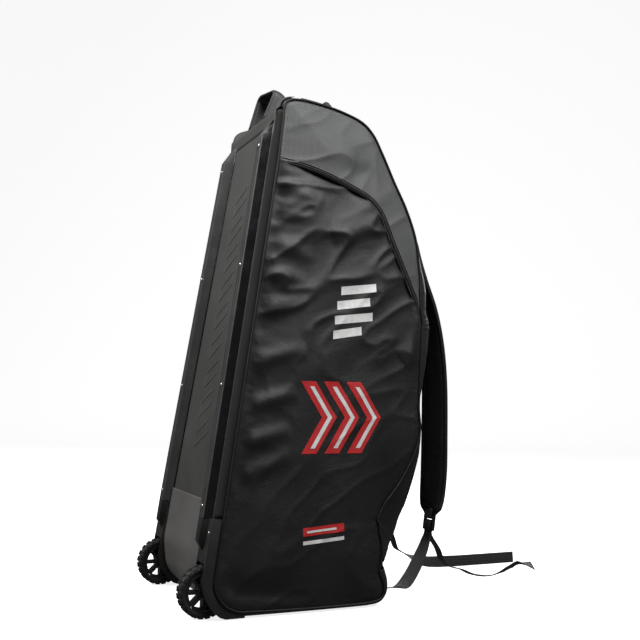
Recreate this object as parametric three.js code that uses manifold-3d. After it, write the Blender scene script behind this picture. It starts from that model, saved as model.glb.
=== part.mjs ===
import * as THREE from 'three';
import { mergeVertices } from 'three/addons/utils/BufferGeometryUtils.js';
import Module from 'manifold-3d';

// Wheeled cricket kit bag, standing upright on its base and two wheels.
// X runs across the bag, -Y is the side with the board, skids and wheels,
// +Y is the lid with the shoulder straps, Z is up. Lengths are in millimetres.
// The origin is on the floor, in the middle of the flat base.

const wasm = await Module();
wasm.setup();

// Body sizes
const BAG_HEIGHT = 963;
const BAG_DEPTH = 480;
const FLOOR_WIDTH = 372;
const TOP_WIDTH = 292;
const BACK_FOOT_Y = -203;
const BACK_LEAN_DEG = 8.63;
const CLOTH = 2.5;
const PLY_GAP = 0.5;
const TUCK = 4;
const SIDE_CROWN = 13;
const SIDE_CROWN_RUN = 110;
const FRONT_ROLL = 60;
const LID_CROWN = 14;
const TOP_CROWN = 7;
const HEEL_DEPTH = 69;
const HEEL_HEIGHT = 66;
const HEEL_START_Y = -124;
const FLOOR_SEAM_RISE = 12;

// Board, kick panel and skid rails
const BOARD = 4;
const BOARD_WRAP = 12.7;
const BOARD_CORNER = 10;
const BOARD_FOOT = 172;
const BOARD_TOP_DROP = 31;
const BOARD_TOP = BAG_HEIGHT - BOARD_TOP_DROP;
const BOARD_MARGIN = 16;
const KICK_TOP = 198;
const KICK = 3;
const KICK_HALF_WIDTH = 127;
const RAIL_HEIGHT = 19;
const RAIL_BASE_WIDTH = 30;
const RAIL_CREST_WIDTH = 23;
const RAIL_INSET = 35;
const RAIL_TOP_DROP = 18;
const RAIL_TOP = BOARD_TOP - RAIL_TOP_DROP;
const RAIL_RAMP = 30;

// Wheels and housings
const WHEEL_RADIUS = 46;
const WHEEL_WIDTH = 27;
const WHEEL_TRACK = 308;
const WHEEL_Y = -191;
const HUB_RADIUS = 34;
const HUB_WIDTH = 23;
const HUB_RIM = 4;
const HUB_BOSS_RADIUS = 10;
const SPOKES = 8;
const SPOKE_WIDTH = 4.5;
const AXLE_RADIUS = 4;
const RUN_GAP = 0.4;
const FIT_GAP = 0.3;
const WELL_GAP = 5;
const HOUSING_WALL = 4;
const CHEEK = 9;
const CHEEK_PROUD = 8;
const CHEEK_FLOOR_GAP = 2;

// Straps, webbing, handle, zips and piping
const STRAP_WIDTH = 62;
const STRAP_PAD = 12;
const STRAP_X = 90;
const ANCHOR_WIDTH = 66;
const ANCHOR_THICK = 4;
const WEBBING_WIDTH = 25;
const WEBBING = 1.8;
const BUCKLE_WIDTH = 36;
const BUCKLE_LENGTH = 30;
const BUCKLE_THICK = 7;
const HANDLE_RISE = 53;
const HANDLE_TOP = BAG_HEIGHT + HANDLE_RISE;
const HANDLE_SPAN = 92;
const HANDLE_WIDTH = 31;
const HANDLE_THICK = 5;
const HANDLE_BEND = 24;
const PIPING_RADIUS = 2;
const ZIP_WIDTH = 12;
const ZIP_THICK = 2;
const LID_ZIP_WIDTH = 8;
const SLIDER_LENGTH = 18;
const SLIDER_THICK = 5;
const PULL_LENGTH = 36;
const PULL_WIDTH = 13;
const PULL_THICK = 2.4;
const SCREW_RADIUS = 4;
const SCREW_HEIGHT = 1.6;

// Outline of the body seen from the side. Rows run forward along the floor, up
// the front and back over the top: depth and height are shares of BAG_DEPTH and
// BAG_HEIGHT, and roll, a share of FRONT_ROLL, is how far inside the outline
// the seam with the side panel runs.
const BASE_ROWS = [
  { depth: 0.168, height: 0.0, roll: 0.2 },
  { depth: 0.33, height: 0.0, roll: 0.16 },
  { depth: 0.5, height: 0.0, roll: 0.14 },
  { depth: 0.663, height: 0.0, roll: 0.16 },
  { depth: 0.72, height: 0.005, roll: 0.22 },
  { depth: 0.748, height: 0.022, roll: 0.3 },
  { depth: 0.752, height: 0.045, roll: 0.34 },
  { depth: 0.742, height: 0.071, roll: 0.38 },
];
const LID_ROWS = [
  { depth: 0.742, height: 0.077, roll: 0.4 },
  { depth: 0.772, height: 0.099, roll: 0.7 },
  { depth: 0.804, height: 0.124, roll: 0.94 },
  { depth: 0.827, height: 0.16, roll: 0.94 },
  { depth: 0.851, height: 0.205, roll: 0.74 },
  { depth: 0.888, height: 0.285, roll: 0.34 },
  { depth: 0.909, height: 0.338, roll: 0.2 },
  { depth: 0.903, height: 0.382, roll: 0.12 },
  { depth: 0.948, height: 0.436, roll: 0.36 },
  { depth: 0.992, height: 0.51, roll: 0.58 },
  { depth: 0.998, height: 0.552, roll: 0.58 },
  { depth: 0.98, height: 0.584, roll: 0.48 },
  { depth: 0.984, height: 0.625, roll: 0.54 },
  { depth: 0.947, height: 0.68, roll: 0.28 },
  { depth: 0.917, height: 0.734, roll: 0.14 },
  { depth: 0.874, height: 0.795, roll: 0.14 },
  { depth: 0.819, height: 0.848, roll: 0.13 },
  { depth: 0.762, height: 0.908, roll: 0.13 },
  { depth: 0.722, height: 0.944, roll: 0.13 },
  { depth: 0.672, height: 0.968, roll: 0.13 },
  { depth: 0.59, height: 0.984, roll: 0.13 },
  { depth: 0.48, height: 0.995, roll: 0.13 },
  { depth: 0.39, height: 0.999, roll: 0.13 },
  { depth: 0.338, height: 0.996, roll: 0.13 },
  { depth: 0.308, height: 0.986, roll: 0.13 },
  { depth: 0.299, height: 0.9735, roll: 0.13 },
];
const YOKE_TIP_ROW = 11;

// Seam between the grey yoke and the black side panel, from the board forward.
// Its two ends lie on the seams that it runs into.
const YOKE_ROWS = [
  { depth: 0.4, height: 0.856 },
  { depth: 0.5, height: 0.841 },
  { depth: 0.606, height: 0.822 },
  { depth: 0.681, height: 0.804 },
  { depth: 0.733, height: 0.777 },
  { depth: 0.786, height: 0.72 },
  { depth: 0.855, height: 0.648 },
];
const YOKE_START = 0.867;

// Gathers and soft folds of the side panel. depth and height place the start,
// reach and drop are the run to the end, all as shares of the body's sizes;
// width and rise are shares of FOLD_WIDTH and FOLD_RISE.
const FOLD_WIDTH = 16;
const FOLD_RISE = 6;
const SIDE_FOLDS = [
  { depth: 0.3, height: 0.815, reach: 0.17, drop: 0.03, width: 0.9, rise: 0.9 },
  { depth: 0.29, height: 0.765, reach: 0.14, drop: -0.035, width: 1.0, rise: 1.0 },
  { depth: 0.27, height: 0.7, reach: 0.16, drop: 0.03, width: 1.0, rise: 0.8 },
  { depth: 0.26, height: 0.635, reach: 0.14, drop: 0.012, width: 0.9, rise: 0.9 },
  { depth: 0.24, height: 0.57, reach: 0.16, drop: -0.02, width: 1.0, rise: 1.0 },
  { depth: 0.22, height: 0.47, reach: 0.17, drop: -0.025, width: 1.0, rise: 1.0 },
  { depth: 0.2, height: 0.39, reach: 0.16, drop: -0.02, width: 0.9, rise: 0.9 },
  { depth: 0.18, height: 0.32, reach: 0.15, drop: -0.02, width: 1.0, rise: 1.0 },
  { depth: 0.17, height: 0.26, reach: 0.16, drop: -0.035, width: 1.0, rise: 0.8 },
  { depth: 0.66, height: 0.75, reach: -0.16, drop: 0.03, width: 2.2, rise: 1.0 },
  { depth: 0.92, height: 0.52, reach: -0.1, drop: 0.045, width: 1.4, rise: 1.0 },
  { depth: 0.12, height: 0.055, reach: 0.3, drop: 0.035, width: 1.6, rise: -0.8 },
  { depth: 0.62, height: 0.852, reach: 0.09, drop: 0.0, width: 1.4, rise: -0.9 },
  { depth: 0.5, height: 0.89, reach: 0.12, drop: 0.01, width: 1.4, rise: 0.7 },
];

const halfWidth = (z) => (FLOOR_WIDTH - ((FLOOR_WIDTH - TOP_WIDTH) * z) / BAG_HEIGHT) / 2;
const leanSlope = Math.tan(THREE.MathUtils.degToRad(BACK_LEAN_DEG));
const backY = (z) => BACK_FOOT_Y + z * leanSlope;
const lerp = THREE.MathUtils.lerp;
const smooth = THREE.MathUtils.smoothstep;

function material(color, roughness, metalness = 0) {
  return new THREE.MeshStandardMaterial({ color, roughness, metalness });
}
const nylon = material(0x1c1c1d, 0.55);
const yokeCloth = material(0x6d726f, 0.75);
const boardVinyl = material(0x4c4b47, 0.6);
const kickVinyl = material(0x55524e, 0.45);
const railPlastic = material(0x16171a, 0.25);
const housingPlastic = material(0x2b2b2a, 0.45);
const rubber = material(0x19191a, 0.7);
const hubPlastic = material(0x1d1d1e, 0.5);
const steel = material(0xa9aaac, 0.35, 0.9);
const strapCloth = material(0x0d0d0e, 0.85);
const webbingCloth = material(0x1a1a19, 0.8);
const zipBlack = material(0x0f1010, 0.5);

const bag = new THREE.Group();
function add(name, geometry, finish, parent = bag) {
  const mesh = new THREE.Mesh(geometry, finish);
  mesh.name = name;
  parent.add(mesh);
  return mesh;
}

// Closed solids
// A solid is a stack of rings, each a closed loop of points in the same order.
// Its ends are capped in strips between opposite points, so that a thin bent
// section closes well.
function geometryFrom(points, triangles) {
  const positions = new Float32Array(points.flatMap((p) => [p.x, p.y, p.z]));
  const geometry = new THREE.BufferGeometry();
  geometry.setAttribute('position', new THREE.BufferAttribute(positions, 3));
  let volume = 0;
  for (const [a, b, c] of triangles) {
    volume += points[a].dot(new THREE.Vector3().crossVectors(points[b], points[c]));
  }
  const ordered = volume > 0 ? triangles : triangles.map(([a, b, c]) => [a, c, b]);
  geometry.setIndex(ordered.flat());
  return geometry;
}

function stack(rings, closedPath = false) {
  const count = rings[0].length;
  const points = rings.flat();
  const triangles = [];
  const quad = (a, b, c, d) => triangles.push([a, b, c], [a, c, d]);
  const spans = closedPath ? rings.length : rings.length - 1;
  for (let i = 0; i < spans; i += 1) {
    const here = i * count;
    const next = ((i + 1) % rings.length) * count;
    for (let j = 0; j < count; j += 1) {
      const k = (j + 1) % count;
      quad(here + j, here + k, next + k, next + j);
    }
  }
  if (!closedPath) {
    for (const [base, flip] of [[0, true], [(rings.length - 1) * count, false]]) {
      for (let j = 0; j < count / 2 - 1; j += 1) {
        const a = base + j;
        const b = base + j + 1;
        const c = base + count - 2 - j;
        const d = base + count - 1 - j;
        if (flip) quad(a, d, c, b);
        else quad(a, b, c, d);
      }
    }
  }
  return geometryFrom(points, triangles);
}

// A sheet of cloth or board: rows of outer points and the matching inner points.
function sheet(outerRows, innerRows) {
  return stack(outerRows.map((row, i) => [...row, ...[...innerRows[i]].reverse()]));
}

function mirrored(geometry) {
  const copy = geometry.clone();
  copy.scale(-1, 1, 1);
  const index = Array.from(copy.index.array);
  for (let i = 0; i < index.length; i += 3) {
    [index[i + 1], index[i + 2]] = [index[i + 2], index[i + 1]];
  }
  copy.setIndex(index);
  return copy;
}

function addPair(name, geometry, finish) {
  add(`${name}_right`, geometry, finish);
  add(`${name}_left`, mirrored(geometry), finish);
}

function toManifold(geometry) {
  const bare = geometry.clone();
  bare.deleteAttribute('normal');
  bare.deleteAttribute('uv');
  const merged = mergeVertices(bare, 1e-4);
  return new wasm.Manifold(new wasm.Mesh({
    numProp: 3,
    vertProperties: new Float32Array(merged.attributes.position.array),
    triVerts: new Uint32Array(merged.index.array),
  }));
}

function fromManifold(solid) {
  const mesh = solid.getMesh();
  const geometry = new THREE.BufferGeometry();
  geometry.setAttribute('position', new THREE.BufferAttribute(mesh.vertProperties, 3));
  geometry.setIndex(Array.from(mesh.triVerts));
  return geometry;
}

// An outline in the YZ plane, run through along X.
function extrudeAlongX(outline, fromX, toX, holes = []) {
  const shape = new THREE.Shape(outline.map(([y, z]) => new THREE.Vector2(y, z)));
  for (const hole of holes) {
    shape.holes.push(new THREE.Path(hole.map(([y, z]) => new THREE.Vector2(y, z))));
  }
  const geometry = new THREE.ExtrudeGeometry(shape, { depth: toX - fromX, bevelEnabled: false });
  const turn = new THREE.Matrix4().set(0, 0, 1, fromX, 1, 0, 0, 0, 0, 1, 0, 0, 0, 0, 0, 1);
  geometry.applyMatrix4(turn);
  geometry.deleteAttribute('normal');
  geometry.deleteAttribute('uv');
  return mergeVertices(geometry, 1e-4);
}

// Outline of the body
// A rim curve carries the outline's point and, in x, the depth of its roll.
function rimCurve(rows) {
  const points = rows.map((row) => new THREE.Vector3(
    row.roll * FRONT_ROLL,
    BACK_FOOT_Y + row.depth * BAG_DEPTH,
    row.height * BAG_HEIGHT,
  ));
  return new THREE.CatmullRomCurve3(points, false, 'centripetal');
}

function rimStation(curve, t) {
  const p = curve.getPoint(t);
  const tangent = curve.getTangent(t);
  const size = Math.hypot(tangent.y, tangent.z);
  const out = { y: tangent.z / size, z: -tangent.y / size };
  const z = Math.max(p.z, 0);
  const seam = { y: p.y - out.y * p.x, z: z - out.z * p.x };
  return { y: p.y, z, roll: p.x, out, seam };
}

const baseCurve = rimCurve(BASE_ROWS);
const lidCurve = rimCurve(LID_ROWS);
const stationsOf = (curve, count) =>
  Array.from({ length: count + 1 }, (_, i) => rimStation(curve, i / count));
const BASE_SPANS = 11;
const LID_SPANS = 32;
const baseStations = stationsOf(baseCurve, BASE_SPANS);
const lidStations = stationsOf(lidCurve, LID_SPANS);

// A track is a run of [y, z] points that can be read at any share of its length.
function track(points) {
  const lengths = [0];
  for (let i = 1; i < points.length; i += 1) {
    const step = Math.hypot(points[i][0] - points[i - 1][0], points[i][1] - points[i - 1][1]);
    lengths.push(lengths[i - 1] + step);
  }
  const total = lengths[lengths.length - 1];
  return (share) => {
    const goal = THREE.MathUtils.clamp(share, 0, 1) * total;
    let i = 1;
    while (i < lengths.length - 1 && lengths[i] < goal) i += 1;
    const part = (goal - lengths[i - 1]) / (lengths[i] - lengths[i - 1]);
    return [lerp(points[i - 1][0], points[i][0], part), lerp(points[i - 1][1], points[i][1], part)];
  };
}

const SEAM_STEPS = 160;
const seamPoints = (curve, from, to) =>
  Array.from({ length: SEAM_STEPS + 1 }, (_, i) => {
    const { seam } = rimStation(curve, lerp(from, to, i / SEAM_STEPS));
    return [seam.y, seam.z];
  });

const backSeamY = (z) => backY(z) + BOARD_WRAP;
const tipShare = YOKE_TIP_ROW / (LID_ROWS.length - 1);
const FRONT_TURN = 3 / (BASE_ROWS.length - 1);
const heelArc = (grow, steps = 24) =>
  Array.from({ length: steps + 1 }, (_, i) => {
    const angle = (i / steps) * (Math.PI / 2);
    const reach = HEEL_DEPTH - BOARD_WRAP + grow;
    const rise = HEEL_HEIGHT - FLOOR_SEAM_RISE + grow;
    return [HEEL_START_Y - reach * Math.cos(angle), HEEL_HEIGHT - rise * Math.sin(angle)];
  });
const heelTop = heelArc(0)[0];
const yokeStartZ = YOKE_START * BAG_HEIGHT;
const lidSeamEnd = seamPoints(lidCurve, tipShare, 1);

const bottomEdge = [...heelArc(0), ...seamPoints(baseCurve, 0.02, FRONT_TURN)];
const frontEdge = [
  ...seamPoints(baseCurve, FRONT_TURN, 1),
  ...seamPoints(lidCurve, 0, tipShare),
];
const yokeStart = [backSeamY(yokeStartZ), yokeStartZ];
const backEdgeLow = [heelTop, [backSeamY(HEEL_HEIGHT * 2), HEEL_HEIGHT * 2], yokeStart];
const topEdge = lidSeamEnd.slice().reverse();
const backEdgeHigh = [yokeStart, topEdge[0]];
const yokeCurve = new THREE.CatmullRomCurve3([
  new THREE.Vector3(0, ...backEdgeHigh[0]),
  ...YOKE_ROWS.map((row) => new THREE.Vector3(
    0,
    BACK_FOOT_Y + row.depth * BAG_DEPTH,
    row.height * BAG_HEIGHT,
  )),
  new THREE.Vector3(0, ...lidSeamEnd[0]),
], false, 'centripetal');
const yokeSeam = yokeCurve.getPoints(SEAM_STEPS).map((p) => [p.y, p.z]);

// Side panels
// The side bellies out from its seams and carries the gathers and folds.
const outline = [
  topEdge[0],
  ...backEdgeLow.slice().reverse(),
  ...bottomEdge.filter((_, i) => i % 4 === 0),
  ...frontEdge.filter((_, i) => i % 6 === 0),
  ...lidSeamEnd.filter((_, i) => i % 6 === 0),
  topEdge[0],
];

function distanceToSegment(y, z, a, b) {
  const dy = b[0] - a[0];
  const dz = b[1] - a[1];
  const size = dy * dy + dz * dz || 1;
  const along = THREE.MathUtils.clamp(((y - a[0]) * dy + (z - a[1]) * dz) / size, 0, 1);
  return { gap: Math.hypot(y - a[0] - along * dy, z - a[1] - along * dz), along };
}

function distanceToLine(y, z, points) {
  let least = Infinity;
  for (let i = 1; i < points.length; i += 1) {
    least = Math.min(least, distanceToSegment(y, z, points[i - 1], points[i]).gap);
  }
  return least;
}

const FOLD_START = 6;
const FOLD_FULL = 30;
function foldRelief(y, z, edgeGap) {
  let relief = 0;
  for (const fold of SIDE_FOLDS) {
    const from = [BACK_FOOT_Y + fold.depth * BAG_DEPTH, fold.height * BAG_HEIGHT];
    const to = [from[0] + fold.reach * BAG_DEPTH, from[1] - fold.drop * BAG_HEIGHT];
    const { gap, along } = distanceToSegment(y, z, from, to);
    const fade = Math.cos((along * Math.PI) / 2) ** 0.5;
    relief += fold.rise * FOLD_RISE * fade * Math.exp(-((gap / (fold.width * FOLD_WIDTH)) ** 2));
  }
  return relief * smooth(edgeGap, FOLD_START, FOLD_FULL);
}

function sideX(y, z) {
  const edgeGap = distanceToLine(y, z, outline);
  const belly = SIDE_CROWN * Math.sin((Math.min(1, edgeGap / SIDE_CROWN_RUN) * Math.PI) / 2);
  return halfWidth(z) + belly + foldRelief(y, z, edgeGap);
}

// A patch blended from its four edges, read at the shares of its grid.
function patch(bottom, top, left, right, columns, rows) {
  const corner = [left(0), right(0), left(1), right(1)];
  return rows.map((v) => columns.map((u) => [0, 1].map((axis) => {
    const ruled = lerp(bottom(u)[axis], top(u)[axis], v) + lerp(left(v)[axis], right(v)[axis], u);
    const low = lerp(corner[0][axis], corner[1][axis], u);
    const high = lerp(corner[2][axis], corner[3][axis], u);
    return ruled - lerp(low, high, v);
  })));
}

const evenly = (count) => Array.from({ length: count + 1 }, (_, i) => i / count);

function panelFrom(grid, surface) {
  const outer = grid.map((row) => row.map(([y, z]) => new THREE.Vector3(surface(y, z), y, z)));
  const inner = outer.map((row) => row.map((p) => new THREE.Vector3(p.x - CLOTH, p.y, p.z)));
  return sheet(outer, inner);
}

const SIDE_COLUMNS = [0, 0.05, 0.11, 0.18, 0.27, 0.38, 0.5, 0.62, 0.74, 0.87, 1];
const SIDE_ROWS = 24;
const TUCK_FADE = 25;
const TUCK_DROP = 1;
const TUCK_START = 8;
const TUCK_FULL = 22;
const offsetAcross = (points, distanceAt) => points.map(([y, z], i) => {
  const before = points[Math.max(i - 1, 0)];
  const after = points[Math.min(i + 1, points.length - 1)];
  const size = Math.hypot(after[0] - before[0], after[1] - before[1]);
  const distance = distanceAt(y, z);
  return [
    y - ((after[1] - before[1]) / size) * distance,
    z + ((after[0] - before[0]) / size) * distance,
  ];
});
const lowerTop = offsetAcross(yokeSeam, (y, z) =>
  (TUCK + PLY_GAP) * smooth(distanceToLine(y, z, outline), TUCK_FULL, 2 * TUCK_FULL) - PLY_GAP);
const lowerSurface = (y, z) => {
  const near = 1 - smooth(distanceToLine(y, z, yokeSeam), TUCK, TUCK_FADE);
  const inside = smooth(distanceToLine(y, z, outline), TUCK_START, TUCK_FULL);
  return sideX(y, z) - (CLOTH + TUCK_DROP) * near * inside;
};
const lowerGrid = patch(
  track(bottomEdge), track(lowerTop), track([...backEdgeLow.slice(0, 2), lowerTop[0]]),
  track([...frontEdge.slice(0, -1), lowerTop[SEAM_STEPS]]), SIDE_COLUMNS, evenly(SIDE_ROWS),
);
addPair('side_panel', panelFrom(lowerGrid, lowerSurface), nylon);

const YOKE_COLUMNS = 15;
const YOKE_RISE = 5;
const yokeGrid = patch(
  track(yokeSeam), track(topEdge), track(backEdgeHigh), () => lidSeamEnd[0],
  evenly(YOKE_COLUMNS).map((u) => u * 0.985), evenly(YOKE_RISE),
);
addPair('side_yoke', panelFrom(yokeGrid, sideX), yokeCloth);

// Lid and base
// Each is one cloth run round the outline. Its section across the bag starts
// under the side panel, turns the corner and crosses over to the other side.
const CORNER_ANGLES = [0, 30, 60, 90].map(THREE.MathUtils.degToRad);
const CORNER_RUN = 12;
const CORNER_SPREAD = 0.85;
const CROSS_SHARES = [0.6, 0.25];
function rimSection(station, crown, ply) {
  const edge = halfWidth(station.seam.z) - CLOTH - PLY_GAP;
  const run = CORNER_RUN + station.roll * CORNER_SPREAD;
  const { out } = station;
  const half = [];
  const place = (x, depth, nx, nout) => {
    const drop = depth + ply * nout;
    half.push(new THREE.Vector3(x - ply * nx, station.y - out.y * drop, station.z - out.z * drop));
  };
  place(edge, station.roll + TUCK, 1, 0);
  for (const angle of CORNER_ANGLES) {
    const turned = Math.sin(angle);
    place(edge - run * (1 - Math.cos(angle)), station.roll * (1 - turned), Math.cos(angle), turned);
  }
  for (const share of CROSS_SHARES) {
    place(share * (edge - run), -crown * (1 - share * share), 0, 1);
  }
  const flipped = half.map((p) => new THREE.Vector3(-p.x, p.y, p.z)).reverse();
  return [...half, ...flipped];
}

const lidCrown = (station) => {
  const rising = smooth(station.z, 0.08 * BAG_HEIGHT, 0.35 * BAG_HEIGHT);
  const overTop = smooth(-station.out.y, -0.75, 0.1);
  return lerp(LID_CROWN * rising, TOP_CROWN, overTop);
};
const rimSheet = (stations, crownAt) => sheet(
  stations.map((station) => rimSection(station, crownAt(station), 0)),
  stations.map((station) => rimSection(station, crownAt(station), CLOTH)),
);
add('lid_panel', rimSheet(lidStations, lidCrown), nylon);
add('base_panel', rimSheet(baseStations, () => 0), nylon);

// Back board
// A stiff flat board under vinyl, from one turned margin to the other.
const boardLevels = [BOARD_FOOT + PLY_GAP, BOARD_TOP];
const boardEdge = (z) => halfWidth(z) - CLOTH - PLY_GAP;
const boardRow = (z, inset) => [1, -1].map((side) =>
  new THREE.Vector3(side * (boardEdge(z) - BOARD_MARGIN - FIT_GAP), backY(z) + inset, z));
add('back_board', sheet(
  boardLevels.map((z) => boardRow(z, 0)),
  boardLevels.map((z) => boardRow(z, BOARD)),
), boardVinyl);

// Board margins
// The same vinyl over a folded strip, turned round each back corner onto the side.
const CORNER_BULGE = 0.29;
function marginSection(z, inset) {
  const edge = boardEdge(z);
  const y = backY(z);
  const cut = (BOARD_CORNER - inset) * CORNER_BULGE;
  return [
    [edge - inset, y + BOARD_WRAP + TUCK],
    [edge - inset, y + BOARD_CORNER],
    [edge - inset - cut, y + inset + cut],
    [edge - BOARD_CORNER, y + inset],
    [edge - BOARD_MARGIN, y + inset],
  ].map(([px, py]) => new THREE.Vector3(px, py, z));
}
addPair('board_margin', sheet(
  boardLevels.map((z) => marginSection(z, 0)),
  boardLevels.map((z) => marginSection(z, BOARD)),
), boardVinyl);

// Kick panel
// Smooth vinyl over the foot of the board, curving under between the wheels.
const kickPath = [
  [backY(KICK_TOP), KICK_TOP],
  [backY(KICK_TOP * 0.8), KICK_TOP * 0.8],
  [backY(HEEL_HEIGHT * 1.5), HEEL_HEIGHT * 1.5],
  ...heelArc(BOARD_WRAP - KICK - 1, 8),
].map(([y, z], i) => (i < 3 ? [y - KICK - PLY_GAP, z] : [y, z]));
const acrossKick = [-1, -0.5, 0, 0.5, 1].map((share) => share * KICK_HALF_WIDTH);
const kickRow = ([y, z]) => acrossKick.map((x) => new THREE.Vector3(x, y, z));
add('kick_panel', sheet(kickPath.map(kickRow), offsetAcross(kickPath, () => KICK).map(kickRow)), kickVinyl);

// Skid rails
// A moulded runner stands on each side of the board and ramps down at its top.
const railX = (z) => halfWidth(z) - RAIL_INSET;
function railRing(z, height) {
  const base = backY(z) - FIT_GAP;
  const crest = backY(z) - height;
  const x = railX(z);
  return [
    [x - RAIL_BASE_WIDTH / 2, base],
    [x - RAIL_CREST_WIDTH / 2, crest],
    [x + RAIL_CREST_WIDTH / 2, crest],
    [x + RAIL_BASE_WIDTH / 2, base],
  ].map(([px, py]) => new THREE.Vector3(px, py, z));
}
const RAIL_TIP_HEIGHT = 3;
addPair('skid_rail', stack([
  railRing(BOARD_FOOT + FIT_GAP, RAIL_HEIGHT),
  railRing((BOARD_FOOT + RAIL_TOP) / 2, RAIL_HEIGHT),
  railRing(RAIL_TOP - RAIL_RAMP, RAIL_HEIGHT),
  railRing(RAIL_TOP, RAIL_TIP_HEIGHT),
]), railPlastic);

// Wheel housings
// Each fills a heel corner of the bag: an arch over the wheel, an inner wall, an
// outer cheek that follows the side seam, and a pointed end for the skid rail.
const HOUSING_INNER = KICK_HALF_WIDTH + 2 * FIT_GAP;
const CHEEK_GAP = 1.8;
const ARCH_BITE = 0.2;
const housingTop = BOARD_FOOT - FIT_GAP;
const outerHeel = heelArc(BOARD_WRAP + CHEEK_PROUD, 10)
  .map(([y, z]) => [y, Math.max(z, CHEEK_FLOOR_GAP)]);
const innerHeel = heelArc(CHEEK_GAP, 10);
const backLine = (offset, z) => [backY(z) + offset, z];
const cheekOutline = [
  backLine(-CHEEK_PROUD, housingTop),
  ...outerHeel,
  ...innerHeel.slice().reverse(),
  backLine(BOARD_WRAP - CHEEK_GAP, housingTop),
];
const wellRadius = WHEEL_RADIUS + WELL_GAP;
const wheelArc = (radius, fromDeg, toDeg, steps) =>
  Array.from({ length: steps + 1 }, (_, i) => {
    const angle = THREE.MathUtils.degToRad(lerp(fromDeg, toDeg, i / steps));
    return [WHEEL_Y + radius * Math.cos(angle), WHEEL_RADIUS + radius * Math.sin(angle)];
  });
const archOutline = [
  backLine(-CHEEK_PROUD, housingTop),
  ...outerHeel,
  [HEEL_START_Y, CHEEK_FLOOR_GAP + HOUSING_WALL],
  ...wheelArc(wellRadius + HOUSING_WALL, -42, 72, 9),
  backLine(HOUSING_WALL, housingTop),
];
const cheekInner = halfWidth(0) - CHEEK;
const housingX = (x, z) =>
  HOUSING_INNER + ((x - HOUSING_INNER) * (halfWidth(z) - HOUSING_INNER)) / (halfWidth(0) - HOUSING_INNER);

function followSide(geometry) {
  const place = geometry.attributes.position;
  for (let i = 0; i < place.count; i += 1) place.setX(i, housingX(place.getX(i), place.getZ(i)));
  return geometry;
}
// The block under the rail narrows to a point: height is a share of BOARD_FOOT,
// width and proud are shares of the rail's own width and height.
const POINT_ROWS = [
  { height: 0.998, width: 1, proud: 1 },
  { height: 0.77, width: 0.9, proud: 1 },
  { height: 0.65, width: 0.2, proud: 0.32 },
];
const crestShare = RAIL_CREST_WIDTH / RAIL_BASE_WIDTH;
const pointRing = ({ height, width, proud }) => {
  const z = height * BOARD_FOOT;
  const half = (width * RAIL_BASE_WIDTH) / 2;
  return [
    [-half, 0],
    [-half * crestShare, proud * RAIL_HEIGHT],
    [half * crestShare, proud * RAIL_HEIGHT],
    [half, 0],
  ].map(([across, out]) => new THREE.Vector3(railX(BOARD_FOOT) + across, backY(z) - out, z));
};
const archTo = cheekInner + ARCH_BITE;
const wellFrom = HOUSING_INNER + HOUSING_WALL;
const wellOutline = wheelArc(wellRadius, 0, 345, 23);
const cheek = toManifold(followSide(extrudeAlongX(cheekOutline, cheekInner, halfWidth(0))));
const arch = toManifold(followSide(extrudeAlongX(archOutline, HOUSING_INNER, archTo)));
const well = toManifold(followSide(extrudeAlongX(wellOutline, wellFrom, cheekInner)));
const point = toManifold(stack(POINT_ROWS.map(pointRing)));
addPair('wheel_housing', fromManifold(arch.subtract(well).add(cheek).add(point)), housingPlastic);

// Axles and wheels
const axleFrom = housingX(wellFrom, WHEEL_RADIUS) + FIT_GAP;
const axleTo = housingX(cheekInner, WHEEL_RADIUS) - FIT_GAP;
const circle = (radius, steps, start = 0) =>
  Array.from({ length: steps }, (_, i) => {
    const angle = start + (i / steps) * 2 * Math.PI;
    return [radius * Math.cos(angle), radius * Math.sin(angle)];
  });
const hubOuter = HUB_RADIUS - RUN_GAP;
function spokeGap(index) {
  const middle = ((index + 0.5) / SPOKES) * 2 * Math.PI;
  const inner = HUB_BOSS_RADIUS;
  const outer = hubOuter - HUB_RIM;
  const spread = (radius) => Math.PI / SPOKES - SPOKE_WIDTH / 2 / radius;
  return [
    [inner, -spread(inner)], [outer, -spread(outer)], [outer, 0],
    [outer, spread(outer)], [inner, spread(inner)],
  ].map(([radius, turn]) => [radius * Math.cos(middle + turn), radius * Math.sin(middle + turn)]);
}
const hub = extrudeAlongX(circle(hubOuter, 32), -HUB_WIDTH / 2, HUB_WIDTH / 2, [
  circle(AXLE_RADIUS + RUN_GAP, 12),
  ...Array.from({ length: SPOKES }, (_, i) => spokeGap(i)),
]);
const TYRE_SHOULDER = 4;
const tyreSection = [
  [HUB_RADIUS, -HUB_WIDTH / 2],
  [WHEEL_RADIUS - TYRE_SHOULDER, -WHEEL_WIDTH / 2],
  [WHEEL_RADIUS, -WHEEL_WIDTH / 2 + TYRE_SHOULDER],
  [WHEEL_RADIUS, WHEEL_WIDTH / 2 - TYRE_SHOULDER],
  [WHEEL_RADIUS - TYRE_SHOULDER, WHEEL_WIDTH / 2],
  [HUB_RADIUS, HUB_WIDTH / 2],
];
const TYRE_STEPS = 28;
const tyre = stack(Array.from({ length: TYRE_STEPS }, (_, i) => {
  const angle = (i / TYRE_STEPS) * 2 * Math.PI;
  return tyreSection.map(([radius, x]) =>
    new THREE.Vector3(x, radius * Math.cos(angle), radius * Math.sin(angle)));
}), true);
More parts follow.
